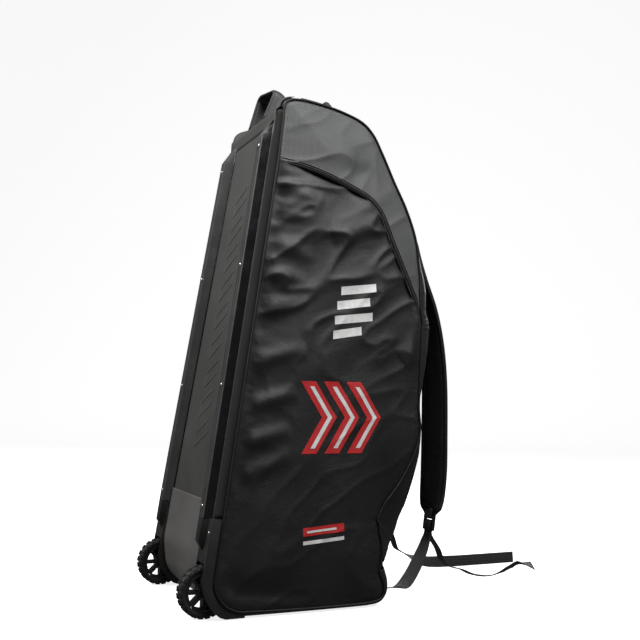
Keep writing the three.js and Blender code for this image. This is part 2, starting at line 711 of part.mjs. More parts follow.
for (const [side, sign] of [['right', 1], ['left', -1]]) {
  const corner = new THREE.Group();
  corner.position.set((sign * WHEEL_TRACK) / 2, WHEEL_Y, WHEEL_RADIUS);
  add(`wheel_tyre_${side}`, tyre, rubber, corner);
  add(`wheel_hub_${side}`, hub, hubPlastic, corner);
  bag.add(corner);
  const axle = extrudeAlongX(circle(AXLE_RADIUS, 12), axleFrom, axleTo);
  axle.translate(0, WHEEL_Y, WHEEL_RADIUS);
  add(`axle_${side}`, sign > 0 ? axle : mirrored(axle), steel);
}

// Screws
// Round heads lie square on the rail crests and on the faces of the housings.
function screwAt(x, z, proud) {
  const head = extrudeAlongX(circle(SCREW_RADIUS, 8), 0, SCREW_HEIGHT);
  head.applyMatrix4(new THREE.Matrix4().makeRotationZ(-Math.PI / 2));
  head.applyMatrix4(new THREE.Matrix4().makeRotationX(-THREE.MathUtils.degToRad(BACK_LEAN_DEG)));
  head.translate(x, backY(z) - proud - FIT_GAP, z);
  return head;
}
const RAIL_SCREWS = [0.21, 0.445, 0.69, 0.945];
RAIL_SCREWS.forEach((share, i) => {
  const z = share * RAIL_TOP;
  addPair(`rail_screw_${i + 1}`, screwAt(railX(z), z, RAIL_HEIGHT), steel);
});
const HOUSING_SCREW_DROP = 24;
const cheekScrewZ = BOARD_FOOT - HOUSING_SCREW_DROP;
const cheekScrewX = halfWidth(cheekScrewZ) - 2 * SCREW_RADIUS;
addPair('housing_screw', screwAt(cheekScrewX, cheekScrewZ, CHEEK_PROUD), steel);

// Points on the lid
// The lid's section is read again, so that what is sewn on it lies on its faces.
function lidPoint(station, x, lift) {
  const half = rimSection(station, lidCrown(station), 0)
    .slice(0, 1 + CORNER_ANGLES.length + CROSS_SHARES.length);
  let i = 1;
  while (i < half.length - 1 && half[i].x > x) i += 1;
  const share = (x - half[i].x) / (half[i - 1].x - half[i].x);
  const place = half[i].clone().lerp(half[i - 1], share);
  return new THREE.Vector3(x, place.y + station.out.y * lift, place.z + station.out.z * lift);
}
const flatEdge = (station) =>
  halfWidth(station.seam.z) - CLOTH - PLY_GAP - CORNER_RUN - station.roll * CORNER_SPREAD;
const betweenHeights = (low, high) =>
  lidStations.filter((s) => s.z > low * BAG_HEIGHT && s.z < high * BAG_HEIGHT && s.out.y > 0);

// Strap anchors
// A sewn patch on the lid holds the head of each shoulder strap.
const ANCHOR_LOW = 0.685;
const ANCHOR_HIGH = 0.775;
const anchorStations = betweenHeights(ANCHOR_LOW, ANCHOR_HIGH);
const anchorRow = (station, lift) => [
  STRAP_X + ANCHOR_WIDTH / 2,
  CROSS_SHARES[0] * flatEdge(station),
  STRAP_X - ANCHOR_WIDTH / 2,
].map((x) => lidPoint(station, x, lift));
addPair('strap_anchor', sheet(
  anchorStations.map((s) => anchorRow(s, PLY_GAP + ANCHOR_THICK)),
  anchorStations.map((s) => anchorRow(s, PLY_GAP)),
), strapCloth);

// Shoulder straps
// A padded strap leaves its anchor, hangs clear of the lid and ends at a buckle.
const STRAP_ROWS = [
  { depth: 1.013, height: 0.65, tilt: 10 },
  { depth: 1.045, height: 0.595, tilt: 8 },
  { depth: 1.074, height: 0.525, tilt: 4 },
  { depth: 1.09, height: 0.44, tilt: 0 },
  { depth: 1.09, height: 0.31, tilt: 0 },
  { depth: 1.082, height: 0.24, tilt: 0 },
  { depth: 1.06, height: 0.156, tilt: 0 },
];
const strapLift = PLY_GAP + ANCHOR_THICK + 2 * FIT_GAP + STRAP_PAD / 2;
const headStations = anchorStations.filter((_, i) => i % 2 === 0).reverse();
const strapHead = headStations.map((station) => {
  const inner = lidPoint(station, STRAP_X - STRAP_WIDTH / 2, 0);
  const outer = lidPoint(station, STRAP_X + STRAP_WIDTH / 2, 0);
  const middle = lidPoint(station, STRAP_X, strapLift);
  const tilt = THREE.MathUtils.radToDeg(Math.atan2(inner.y - outer.y, STRAP_WIDTH));
  return { y: middle.y, z: middle.z, tilt };
});
const strapRows = [
  ...strapHead,
  ...STRAP_ROWS.map((row) => ({
    y: BACK_FOOT_Y + row.depth * BAG_DEPTH,
    z: row.height * BAG_HEIGHT,
    tilt: row.tilt,
  })),
];
const strapCurve = new THREE.CatmullRomCurve3(
  strapRows.map((row) => new THREE.Vector3(row.tilt, row.y, row.z)), false, 'centripetal');
const STRAP_STEPS = 17;
const STRAP_EDGE = 0.28;
function strapRing(share) {
  const p = strapCurve.getPoint(share);
  const t = strapCurve.getTangent(share);
  const size = Math.hypot(t.y, t.z);
  const normal = new THREE.Vector3(0, -t.z / size, t.y / size);
  const tilt = THREE.MathUtils.degToRad(p.x);
  const across = new THREE.Vector3(Math.cos(tilt), 0, 0).addScaledVector(normal, -Math.sin(tilt));
  const facing = normal.clone().multiplyScalar(Math.cos(tilt));
  facing.x = Math.sin(tilt);
  const centre = new THREE.Vector3(STRAP_X, p.y, p.z);
  const at = (side, out) => centre.clone()
    .addScaledVector(across, (side * STRAP_WIDTH) / 2).addScaledVector(facing, out * STRAP_PAD);
  const thin = STRAP_EDGE;
  return [
    at(-1, thin), at(-0.75, 0.5), at(0.75, 0.5), at(1, thin),
    at(1, -thin), at(0.75, -0.5), at(-0.75, -0.5), at(-1, -thin),
  ];
}
addPair('shoulder_strap', stack(evenly(STRAP_STEPS).map(strapRing)), strapCloth);

// Buckles
// A ladder buckle at the foot of each strap, with two slots for the webbing.
const strapEnd = strapCurve.getPoint(1);
const strapHeading = strapCurve.getTangent(1);
const buckleAim = new THREE.Vector3(0, strapHeading.y, strapHeading.z).normalize();
const buckleFace = new THREE.Vector3(0, -buckleAim.z, buckleAim.y);
const BUCKLE_RIM = 4;
const rectangle = (cx, cy, w, h) =>
  [[-1, -1], [1, -1], [1, 1], [-1, 1]].map(([sx, sy]) => [cx + (sx * w) / 2, cy + (sy * h) / 2]);
const slotHeight = (BUCKLE_LENGTH - 3 * BUCKLE_RIM) / 2;
const slotWidth = BUCKLE_WIDTH - 2 * BUCKLE_RIM;
const slotShift = (slotHeight + BUCKLE_RIM) / 2;
const buckle = extrudeAlongX(
  rectangle(0, 0, BUCKLE_WIDTH, BUCKLE_LENGTH), -BUCKLE_THICK / 2, BUCKLE_THICK / 2,
  [rectangle(0, slotShift, slotWidth, slotHeight), rectangle(0, -slotShift, slotWidth, slotHeight)],
);
const buckleCentre = new THREE.Vector3(STRAP_X, strapEnd.y, strapEnd.z)
  .addScaledVector(buckleAim, BUCKLE_LENGTH / 2 + FIT_GAP);
buckle.applyMatrix4(new THREE.Matrix4()
  .makeBasis(buckleFace, new THREE.Vector3(1, 0, 0), buckleAim).setPosition(buckleCentre));
addPair('strap_buckle', buckle, railPlastic);

// Webbing
// A flat ribbon along a few points. Each row also gives the direction in which
// the ribbon is wide: level, leaning, or standing on its edge.
function ribbon(rows, steps) {
  const path = new THREE.CatmullRomCurve3(rows.map((row) => row.point), false, 'centripetal');
  return stack(evenly(steps).map((share) => {
    const at = path.getPoint(share);
    const tangent = path.getTangent(share);
    const place = share * (rows.length - 1);
    const low = Math.min(Math.floor(place), rows.length - 2);
    const across = rows[low].wide.clone().lerp(rows[low + 1].wide, place - low);
    across.addScaledVector(tangent, -across.dot(tangent)).normalize();
    const face = new THREE.Vector3().crossVectors(across, tangent);
    return rectangle(0, 0, WEBBING_WIDTH, WEBBING).map(([a, f]) =>
      at.clone().addScaledVector(across, a).addScaledVector(face, f));
  }));
}
const spot = ({ across, depth, height, wide }) => ({
  point: new THREE.Vector3(
    (across * FLOOR_WIDTH) / 2,
    BACK_FOOT_Y + depth * BAG_DEPTH,
    height * BAG_HEIGHT,
  ),
  wide: new THREE.Vector3(...wide),
});
const buckleFoot = (side) => [FIT_GAP, BUCKLE_THICK].map((below) => ({
  point: buckleCentre.clone()
    .addScaledVector(buckleAim, BUCKLE_LENGTH / 2 + below)
    .addScaledVector(buckleFace, side * WEBBING),
  wide: new THREE.Vector3(1, 0, 0),
}));
const LOWER_ROWS = [
  { across: 0.5, depth: 1.035, height: 0.1, wide: [0.95, 0.2, 0] },
  { across: 0.58, depth: 0.98, height: 0.067, wide: [0.6, 0.75, -0.2] },
  { across: 0.7, depth: 0.91, height: 0.037, wide: [0.32, 0.82, -0.46] },
  { across: 0.817, depth: 0.835, height: 0.026, wide: [0.6, 0.6, -0.1] },
  { across: 0.92, depth: 0.764, height: 0.031, wide: [0.9, 0.3, 0.25] },
];
const LOWER_STEPS = 16;
addPair('lower_webbing', ribbon([...buckleFoot(-1), ...LOWER_ROWS.map(spot)], LOWER_STEPS), webbingCloth);

const TAIL_RIGHT_ROWS = [
  { across: 0.49, depth: 1.095, height: 0.085, wide: [1, 0, 0] },
  { across: 0.48, depth: 1.12, height: 0.06, wide: [1, 0, 0] },
  { across: 0.475, depth: 1.155, height: 0.046, wide: [1, 0, 0] },
  { across: 0.47, depth: 1.215, height: 0.038, wide: [1, 0, 0.05] },
  { across: 0.46, depth: 1.277, height: 0.025, wide: [1, 0, 0.15] },
  { across: 0.45, depth: 1.373, height: 0.018, wide: [1, 0, 0.3] },
  { across: 0.44, depth: 1.456, height: 0.028, wide: [0.75, 0, 0.65] },
  { across: 0.43, depth: 1.512, height: 0.037, wide: [0.7, 0, 0.7] },
  { across: 0.43, depth: 1.555, height: 0.036, wide: [1, 0, 0] },
  { across: 0.43, depth: 1.61, height: 0.031, wide: [0.8, 0, -0.6] },
];
const TAIL_LEFT_ROWS = [
  { across: 0.49, depth: 1.085, height: 0.08, wide: [1, 0, 0] },
  { across: 0.52, depth: 1.11, height: 0.055, wide: [1, 0, 0] },
  { across: 0.535, depth: 1.146, height: 0.044, wide: [1, 0, 0.05] },
  { across: 0.54, depth: 1.194, height: 0.031, wide: [1, 0, 0.4] },
  { across: 0.54, depth: 1.265, height: 0.0195, wide: [0.6, 0, 1] },
  { across: 0.54, depth: 1.41, height: 0.0155, wide: [0.1, 0, 1] },
  { across: 0.54, depth: 1.58, height: 0.015, wide: [0.07, 0, 1] },
  { across: 0.54, depth: 1.775, height: 0.015, wide: [0.1, 0, 1] },
];
const TAIL_STEPS = 23;
const tail = (rows) => ribbon([...buckleFoot(1), ...rows.map(spot)], TAIL_STEPS);
add('strap_tail_right', tail(TAIL_RIGHT_ROWS), webbingCloth);
add('strap_tail_left', mirrored(tail(TAIL_LEFT_ROWS)), webbingCloth);

// Top grab handle
// A padded band bridges the head of the board, with its feet on the lid.
const HANDLE_SETBACK = 17;
const topStations = lidStations.filter((s) => s.out.z > 0.5);
const headStation = (y) => topStations.reduce((best, s) =>
  (Math.abs(s.y - y) < Math.abs(best.y - y) ? s : best));
const handleFootY = backY(BOARD_TOP) + HANDLE_SETBACK;
const handleFootZ = FIT_GAP + Math.max(...[0, 0.5, 1].map((share) =>
  lidPoint(headStation(handleFootY + share * HANDLE_WIDTH), HANDLE_SPAN / 2 - HANDLE_THICK, 0).z));
function handleRing(x, z, nx, nz) {
  const y = handleFootY + (z - handleFootZ) * leanSlope;
  const corner = (along, ply) => new THREE.Vector3(x - nx * ply, y + along, z - nz * ply);
  return [
    corner(0, 0), corner(HANDLE_WIDTH, 0), corner(HANDLE_WIDTH, HANDLE_THICK), corner(0, HANDLE_THICK),
  ];
}
const handleBend = evenly(4).map((share) => {
  const angle = (share * Math.PI) / 2;
  return [
    HANDLE_SPAN / 2 - HANDLE_BEND * (1 - Math.cos(angle)),
    HANDLE_TOP - HANDLE_BEND * (1 - Math.sin(angle)),
    Math.cos(angle),
    Math.sin(angle),
  ];
});
const handleHalf = [[HANDLE_SPAN / 2, handleFootZ, 1, 0], ...handleBend];
add('top_handle', stack([
  ...handleHalf,
  ...handleHalf.slice().reverse().map(([x, z, nx, nz]) => [-x, z, -nx, nz]),
].map((row) => handleRing(...row))), boardVinyl);

// Piping
// A round cord is sewn in along the whole outline of each side panel.
const PIPE_SIDES = 4;
const PIPE_GAP = 0.5;
const pipeBack = track([topEdge[0], yokeStart, ...backEdgeLow.slice(0, 2).reverse()]);
const pipeRoute = [
  ...[0, 0.5].map(pipeBack),
  ...heelArc(0, 6),
  ...[0.5, 0.75].map(track(bottomEdge)),
  ...evenly(26).map(track(frontEdge)),
  ...evenly(24).slice(1, -1).map(track(lidSeamEnd)),
];
const pipeRing = ([y, z], i) => {
  const before = pipeRoute[(i + pipeRoute.length - 1) % pipeRoute.length];
  const after = pipeRoute[(i + 1) % pipeRoute.length];
  const size = Math.hypot(after[0] - before[0], after[1] - before[1]);
  const normal = [(after[1] - before[1]) / size, -(after[0] - before[0]) / size];
  return circle(PIPING_RADIUS, PIPE_SIDES).map(([across, out]) => new THREE.Vector3(
    halfWidth(z) + PIPING_RADIUS + PIPE_GAP + out,
    y + normal[0] * across,
    z + normal[1] * across,
  ));
};
addPair('side_piping', stack(pipeRoute.map(pipeRing), true), zipBlack);

// Pocket zips
// One tape on each side covers the seam between the yoke and the side panel.
const POCKET_LIFT = 0.9;
const POCKET_ZIP_ABOVE = 4;
const POCKET_STEPS = 24;
const pocketRun = evenly(POCKET_STEPS).map((share) => track(yokeSeam)(lerp(0.02, 0.955, share)));
const pocketEdges = [POCKET_ZIP_ABOVE, POCKET_ZIP_ABOVE - ZIP_WIDTH]
  .map((distance) => offsetAcross(pocketRun, () => distance));
const pocketRow = (i, lift) => pocketEdges.map((edge) =>
  new THREE.Vector3(sideX(...edge[i]) + lift, ...edge[i]));
addPair('pocket_zip', sheet(
  pocketRun.map((_, i) => pocketRow(i, POCKET_LIFT + ZIP_THICK)),
  pocketRun.map((_, i) => pocketRow(i, POCKET_LIFT)),
), zipBlack);

// Lid zips
// The lid opens by a zip along each of its edges, with a slider near each end.
const LID_ZIP_INSET = 0.5;
const LID_ZIP_FIRST_ROW = 1;
const LID_ZIP_END_ROW = LID_SPANS - 3;
const zipAcross = (station) =>
  [LID_ZIP_WIDTH, 0].map((shift) => flatEdge(station) + LID_ZIP_INSET + shift);
const zipRow = (station, lift) => zipAcross(station).map((x) => lidPoint(station, x, lift));
const zipStations = lidStations.slice(LID_ZIP_FIRST_ROW, LID_ZIP_END_ROW);
addPair('lid_zip', sheet(
  zipStations.map((s) => zipRow(s, PLY_GAP + ZIP_THICK)),
  zipStations.map((s) => zipRow(s, PLY_GAP)),
), zipBlack);

const sliderFoot = PLY_GAP + ZIP_THICK + FIT_GAP;
function slider(index, share) {
  const [from, to] = [lidStations[index], lidStations[index + 1]];
  const run = Math.hypot(to.y - from.y, to.z - from.z);
  const row = (along, lift) => {
    const low = zipRow(from, lift);
    const high = zipRow(to, lift);
    return low.map((p, i) => p.lerp(high[i], share + (along * SLIDER_LENGTH) / run));
  };
  const shape = [[-0.5, 0.6], [0, 1], [0.5, 0.7]];
  return sheet(
    shape.map(([along, height]) => row(along, sliderFoot + height * SLIDER_THICK)),
    shape.map(([along]) => row(along, sliderFoot)),
  );
}
const HIGH_SLIDER_ROW = LID_SPANS - 6;
const lowSlider = slider(LID_ZIP_FIRST_ROW, 0.4);
addPair('zip_slider_low', lowSlider, steel);
addPair('zip_slider_high', slider(HIGH_SLIDER_ROW, 0.5), steel);

// Zip pulls
// A cord pull hangs from each of the two low sliders.
const pullOutline = [
  [-0.25, 0], [-0.5, 0.25], [-0.5, 0.85], [-0.25, 1],
  [0.25, 1], [0.5, 0.85], [0.5, 0.25], [0.25, 0],
].map(([across, down]) => [across * PULL_WIDTH, -down * PULL_LENGTH]);
const pull = extrudeAlongX(pullOutline, 0, PULL_THICK);
pull.applyMatrix4(new THREE.Matrix4().makeRotationZ(Math.PI / 2));
lowSlider.computeBoundingBox();
const sliderBox = lowSlider.boundingBox;
pull.translate(
  (sliderBox.min.x + sliderBox.max.x) / 2,
  sliderBox.min.y + 2 * PULL_THICK,
  sliderBox.min.z - FIT_GAP,
);
addPair('zip_pull', pull, zipBlack);

export default bag;
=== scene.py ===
import math
import bmesh
import bpy
import numpy as np
from mathutils import Matrix, Vector, noise


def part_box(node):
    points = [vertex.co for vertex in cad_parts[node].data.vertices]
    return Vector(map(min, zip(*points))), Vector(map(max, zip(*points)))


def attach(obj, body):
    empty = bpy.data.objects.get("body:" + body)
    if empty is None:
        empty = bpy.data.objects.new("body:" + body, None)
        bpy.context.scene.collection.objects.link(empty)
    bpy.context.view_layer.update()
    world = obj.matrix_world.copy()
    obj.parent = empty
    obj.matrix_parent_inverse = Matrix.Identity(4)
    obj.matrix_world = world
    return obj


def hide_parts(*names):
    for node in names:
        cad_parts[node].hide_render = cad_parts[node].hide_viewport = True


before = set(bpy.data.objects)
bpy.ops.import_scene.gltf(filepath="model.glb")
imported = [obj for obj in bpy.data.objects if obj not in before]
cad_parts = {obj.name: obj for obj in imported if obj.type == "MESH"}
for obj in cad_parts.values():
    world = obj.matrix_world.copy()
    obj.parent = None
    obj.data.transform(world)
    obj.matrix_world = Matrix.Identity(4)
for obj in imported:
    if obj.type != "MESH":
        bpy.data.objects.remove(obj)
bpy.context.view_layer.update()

# Camera
# A short telephoto view from low down, a little behind the right side panel and
# tipped slightly up. It is turned about its own line of sight by less than a degree.
EYE = Vector((1.69666, -0.65897, 0.38833))
SIGHT = Vector((-0.91087, 0.40385, 0.08495)).normalized()
ROLL = 0.0144
level = SIGHT.cross(Vector((0, 0, 1))).normalized()
upward = level.cross(SIGHT)
right = math.cos(ROLL) * level + math.sin(ROLL) * upward
up = math.cos(ROLL) * upward - math.sin(ROLL) * level
camera_data = bpy.data.cameras.new("camera")
camera_data.sensor_width = 36
camera_data.lens = 50.38
camera = bpy.data.objects.new("camera", camera_data)
turned = Matrix((right, up, -SIGHT)).transposed().to_4x4()
camera.matrix_world = Matrix.Translation(EYE) @ turned
bpy.context.collection.objects.link(camera)
bpy.context.scene.camera = camera


# Studio
# A pale sweep of floor and wall that glows a little, as a lit paper does, and dim
# light all round. Soft lights hang above, behind the board, over the side and over the lid.
def mesh_object(name, points, faces, *finishes, smooth=True):
    mesh = bpy.data.meshes.new(name)
    mesh.from_pydata([tuple(p) for p in points], [], faces)
    mesh.update()
    if smooth:
        mesh.shade_smooth()
    for finish in finishes:
        mesh.materials.append(finish)
    made = bpy.data.objects.new(name, mesh)
    bpy.context.collection.objects.link(made)
    return made


def strip_faces(rows, columns, closed=False):
    faces = []
    wide = columns if closed else columns - 1
    for i in range(rows - 1):
        for j in range(wide):
            k = (j + 1) % columns
            faces.append((i * columns + j, i * columns + k, (i + 1) * columns + k, (i + 1) * columns + j))
    return faces


def plain_finish(name, colour, roughness):
    made = bpy.data.materials.new(name)
    made.use_nodes = True
    skin = made.node_tree.nodes["Principled BSDF"]
    skin.inputs["Base Color"].default_value = (*colour, 1)
    skin.inputs["Roughness"].default_value = roughness
    return made


SWEEP_RADIUS = 1.6
SWEEP_NEAR = -4.0
SWEEP_FAR = 5.0
SWEEP_HALF = 9.0
profile = [(SWEEP_NEAR, 0.0), (SWEEP_FAR, 0.0)]
for step in range(1, 13):
    angle = step / 12 * math.pi / 2
    profile.append((SWEEP_FAR + SWEEP_RADIUS * math.sin(angle), SWEEP_RADIUS * (1 - math.cos(angle))))
profile.append((SWEEP_FAR + SWEEP_RADIUS, 7.0))
away = Vector((SIGHT.x, SIGHT.y, 0)).normalized()
beside = Vector((away.y, -away.x, 0))
sweep_points = []
for reach, rise in profile:
    for side in (-1, 1):
        sweep_points.append(away * reach + beside * side * SWEEP_HALF + Vector((0, 0, rise - 0.0005)))
floor = mesh_object("studio_sweep", sweep_points, strip_faces(len(profile), 2))
paper = plain_finish("pale_paper", (0.9, 0.9, 0.9), 0.9)
paper.node_tree.nodes["Principled BSDF"].inputs["Emission Color"].default_value = (1, 1, 1, 1)
paper.node_tree.nodes["Principled BSDF"].inputs["Emission Strength"].default_value = 0.82
floor.data.materials.append(paper)
floor.visible_diffuse = False
floor.visible_glossy = False

world = bpy.data.worlds.new("studio")
world.use_nodes = True
world.node_tree.nodes["Background"].inputs["Color"].default_value = (1, 1, 1, 1)
world.node_tree.nodes["Background"].inputs["Strength"].default_value = 0.10
bpy.context.scene.world = world
bpy.context.scene.view_settings.view_transform = "Standard"


def soft_light(name, place, target, size, power):
    data = bpy.data.lights.new(name, "AREA")
    data.shape = "SQUARE"
    data.size = size
    data.energy = power
    lamp = bpy.data.objects.new(name, data)
    lamp.location = place
    lamp.rotation_euler = (Vector(target) - Vector(place)).to_track_quat("-Z", "Y").to_euler()
    bpy.context.collection.objects.link(lamp)


soft_light("top_light", (1.0, -0.1, 2.3), (0.1, 0, 0.8), 1.0, 40)
soft_light("board_light", (-0.9, -2.4, 2.2), (0, -0.1, 0.75), 1.2, 68)
soft_light("side_light", (1.5, 1.0, 1.9), (0.15, 0.05, 0.8), 0.9, 22)
soft_light("lid_light", (-1.3, 1.9, 1.7), (0.0, 0.3, 0.6), 1.4, 34)

# Side panels
# Each side is one cut of glossy coated black nylon over a thin foam, sewn in all
# round. It bellies out, is gathered along the board and falls in soft folds.
BAG_HEIGHT = 0.963
BAG_DEPTH = 0.480
FLOOR_WIDTH = 0.372
TOP_WIDTH = 0.292
BACK_FOOT_Y = -0.203
BACK_LEAN = math.radians(8.63)
ROLL_DEPTH = 0.060
SIDE_CROWN = 0.013
SIDE_CROWN_RUN = 0.110
HEEL_DEPTH = 0.069
HEEL_HEIGHT = 0.066
HEEL_START_Y = -0.124
FLOOR_SEAM_RISE = 0.012
BOARD_WRAP = 0.0127
CLOTH_SHIFT = 0.003

# Outline rows, forward along the floor, up the front and back over the top:
# share of the depth, share of the height, share of ROLL_DEPTH.
BASE_ROWS = [
    (0.168, 0.0, 0.2), (0.33, 0.0, 0.16), (0.5, 0.0, 0.14), (0.672, 0.0, 0.16),
    (0.738, 0.005, 0.22), (0.77, 0.022, 0.3), (0.775, 0.045, 0.34), (0.764, 0.071, 0.4),
]
LID_ROWS = [
    (0.764, 0.077, 0.42), (0.81, 0.099, 1.0), (0.848, 0.124, 1.29), (0.877, 0.16, 1.25),
    (0.907, 0.205, 1.0), (0.932, 0.285, 0.46), (0.932, 0.338, 0.2), (0.922, 0.382, 0.15),
    (0.954, 0.436, 0.36), (0.992, 0.51, 0.58), (0.998, 0.552, 0.58), (0.98, 0.584, 0.48),
    (0.984, 0.625, 0.54), (0.947, 0.68, 0.28), (0.917, 0.734, 0.14), (0.874, 0.795, 0.14),
    (0.819, 0.848, 0.13), (0.762, 0.908, 0.13), (0.722, 0.944, 0.13), (0.672, 0.968, 0.13),
    (0.59, 0.984, 0.13), (0.48, 0.995, 0.13), (0.39, 0.999, 0.13), (0.338, 0.996, 0.13),
    (0.308, 0.986, 0.13), (0.299, 0.9735, 0.13),
]
TIP_ROW = 11
YOKE_ROWS = [
    (0.4, 0.856), (0.5, 0.841), (0.606, 0.822), (0.681, 0.804), (0.733, 0.777),
    (0.786, 0.72), (0.855, 0.648),
]
YOKE_START = 0.867

# Folds: start depth and height, reach and drop as shares of the body's sizes,
# then width and rise as shares of FOLD_WIDTH and FOLD_RISE.
FOLD_WIDTH = 0.016
FOLD_RISE = 0.006
SIDE_FOLDS = [
    (0.3, 0.815, 0.17, 0.03, 0.9, 0.9), (0.29, 0.765, 0.14, -0.035, 1.0, 1.0),
    (0.27, 0.7, 0.16, 0.03, 1.0, 0.8), (0.26, 0.635, 0.14, 0.012, 0.9, 0.9),
    (0.24, 0.57, 0.16, -0.02, 1.0, 1.0), (0.22, 0.47, 0.17, -0.025, 1.0, 1.0),
    (0.2, 0.39, 0.16, -0.02, 0.9, 0.9), (0.18, 0.32, 0.15, -0.02, 1.0, 1.0),
    (0.17, 0.26, 0.16, -0.035, 1.0, 0.8), (0.66, 0.75, -0.16, 0.03, 2.2, 1.0),
    (0.92, 0.52, -0.1, 0.045, 1.4, 1.0), (0.12, 0.055, 0.3, 0.035, 1.6, -0.8),
    (0.62, 0.852, 0.09, 0.0, 1.4, -0.9), (0.5, 0.89, 0.12, 0.01, 1.4, 0.7),
]


def half_width(z):
    return (FLOOR_WIDTH - (FLOOR_WIDTH - TOP_WIDTH) * z / BAG_HEIGHT) / 2


def back_y(z):
    return BACK_FOOT_Y + z * math.tan(BACK_LEAN)


def on_curve(points, share):
    """A point of the even curve that passes through all the points."""
    last = len(points) - 1
    place = min(max(share, 0.0), 1.0) * last
    low = min(int(place), last - 1)
    part = place - low
    p1 = points[low]
    p2 = points[low + 1]
    p0 = points[low - 1] if low else 2 * p1 - p2
    p3 = points[low + 2] if low + 2 <= last else 2 * p2 - p1
    d0, d1, d2 = (max(float(np.dot(b - a, b - a)), 1e-12) ** 0.25 for a, b in ((p0, p1), (p1, p2), (p2, p3)))
    t1 = ((p1 - p0) / d0 - (p2 - p0) / (d0 + d1) + (p2 - p1) / d1) * d1
    t2 = ((p2 - p1) / d1 - (p3 - p1) / (d1 + d2) + (p3 - p2) / d2) * d1
    return p1 + t1 * part + (3 * (p2 - p1) - 2 * t1 - t2) * part ** 2 + (2 * (p1 - p2) + t1 + t2) * part ** 3


def along_curve(points, share):
    ahead = on_curve(points, min(share + 1e-4, 1.0))
    return ahead - on_curve(points, max(share - 1e-4, 0.0))


def rim_points(rows):
    return [np.array((roll * ROLL_DEPTH, BACK_FOOT_Y + depth * BAG_DEPTH, height * BAG_HEIGHT))
            for depth, height, roll in rows]


BASE_RIM = rim_points(BASE_ROWS)
LID_RIM = rim_points(LID_ROWS)


def rim_at(rim, share):
    """Roll, outline point, outward direction and seam point of the rim."""
    roll, y, z = on_curve(rim, share)
    run = along_curve(rim, share)
    size = math.hypot(run[1], run[2])
    out = np.array((run[2] / size, -run[1] / size))
    edge = np.array((y, max(z, 0.0)))
    return roll, edge, out, edge - out * roll


def seam_line(rim, start, end, count=160):
    return [rim_at(rim, start + (end - start) * i / count)[3] for i in range(count + 1)]


def heel_arc(grow, count=24):
    reach = HEEL_DEPTH - BOARD_WRAP + grow
    rise = HEEL_HEIGHT - FLOOR_SEAM_RISE + grow
    turns = [i / count * math.pi / 2 for i in range(count + 1)]
    return [np.array((HEEL_START_Y - reach * math.cos(a), HEEL_HEIGHT - rise * math.sin(a))) for a in turns]


def track(points):
    """Reads a run of points at any share of its length."""
    run = np.array(points)
    far = np.concatenate(([0.0], np.cumsum(np.linalg.norm(np.diff(run, axis=0), axis=1))))

    def read(share):
        goal = min(max(share, 0.0), 1.0) * far[-1]
        return np.array([np.interp(goal, far, run[:, axis]) for axis in range(run.shape[1])])

    return read


def back_seam(z):
    return np.array((back_y(z) + BOARD_WRAP, z))


TIP_SHARE = TIP_ROW / (len(LID_ROWS) - 1)
FRONT_TURN = 3 / (len(BASE_ROWS) - 1)
lid_seam_end = seam_line(LID_RIM, TIP_SHARE, 1)
bottom_edge = heel_arc(0) + seam_line(BASE_RIM, 0.02, FRONT_TURN)
front_edge = seam_line(BASE_RIM, FRONT_TURN, 1) + seam_line(LID_RIM, 0, TIP_SHARE)
yoke_start = back_seam(YOKE_START * BAG_HEIGHT)
back_edge_low = [heel_arc(0)[0], back_seam(2 * HEEL_HEIGHT), yoke_start]
top_edge = lid_seam_end[::-1]
back_edge_high = [yoke_start, top_edge[0]]
yoke_line = [yoke_start]
yoke_line += [np.array((BACK_FOOT_Y + depth * BAG_DEPTH, height * BAG_HEIGHT)) for depth, height in YOKE_ROWS]
yoke_line.append(lid_seam_end[0])
yoke_seam = [on_curve(yoke_line, i / 160) for i in range(161)]
outline = [top_edge[0]] + back_edge_low[::-1] + bottom_edge[::4] + front_edge[::6] + lid_seam_end[::6]
outline.append(top_edge[0])


def gap_to(points, line):
    """Distance of each point from a run of points, and nothing else."""
    best = np.full(len(points), 1e9)
    for a, b in zip(line[:-1], line[1:]):
        best = np.minimum(best, gap_to_leg(points, a, b)[0])
    return best


def gap_to_leg(points, a, b):
    leg = b - a
    size = max(float(np.dot(leg, leg)), 1e-12)
    along = np.clip(((points - a) @ leg) / size, 0, 1)
    foot = a + along[:, None] * leg
    return np.hypot(*(points - foot).T), along


def ease(value, low, high):
    share = np.clip((value - low) / (high - low), 0, 1)
    return share * share * (3 - 2 * share)


def rough(points, across, along, turn, seed):
    """Soft noise on a plane, stretched along a direction."""
    c = math.cos(turn)
    s = math.sin(turn)
    found = []
    for y, z in points:
        found.append(noise.noise(Vector(((c * y + s * z) / along, (c * z - s * y) / across, seed))))
    return np.array(found)


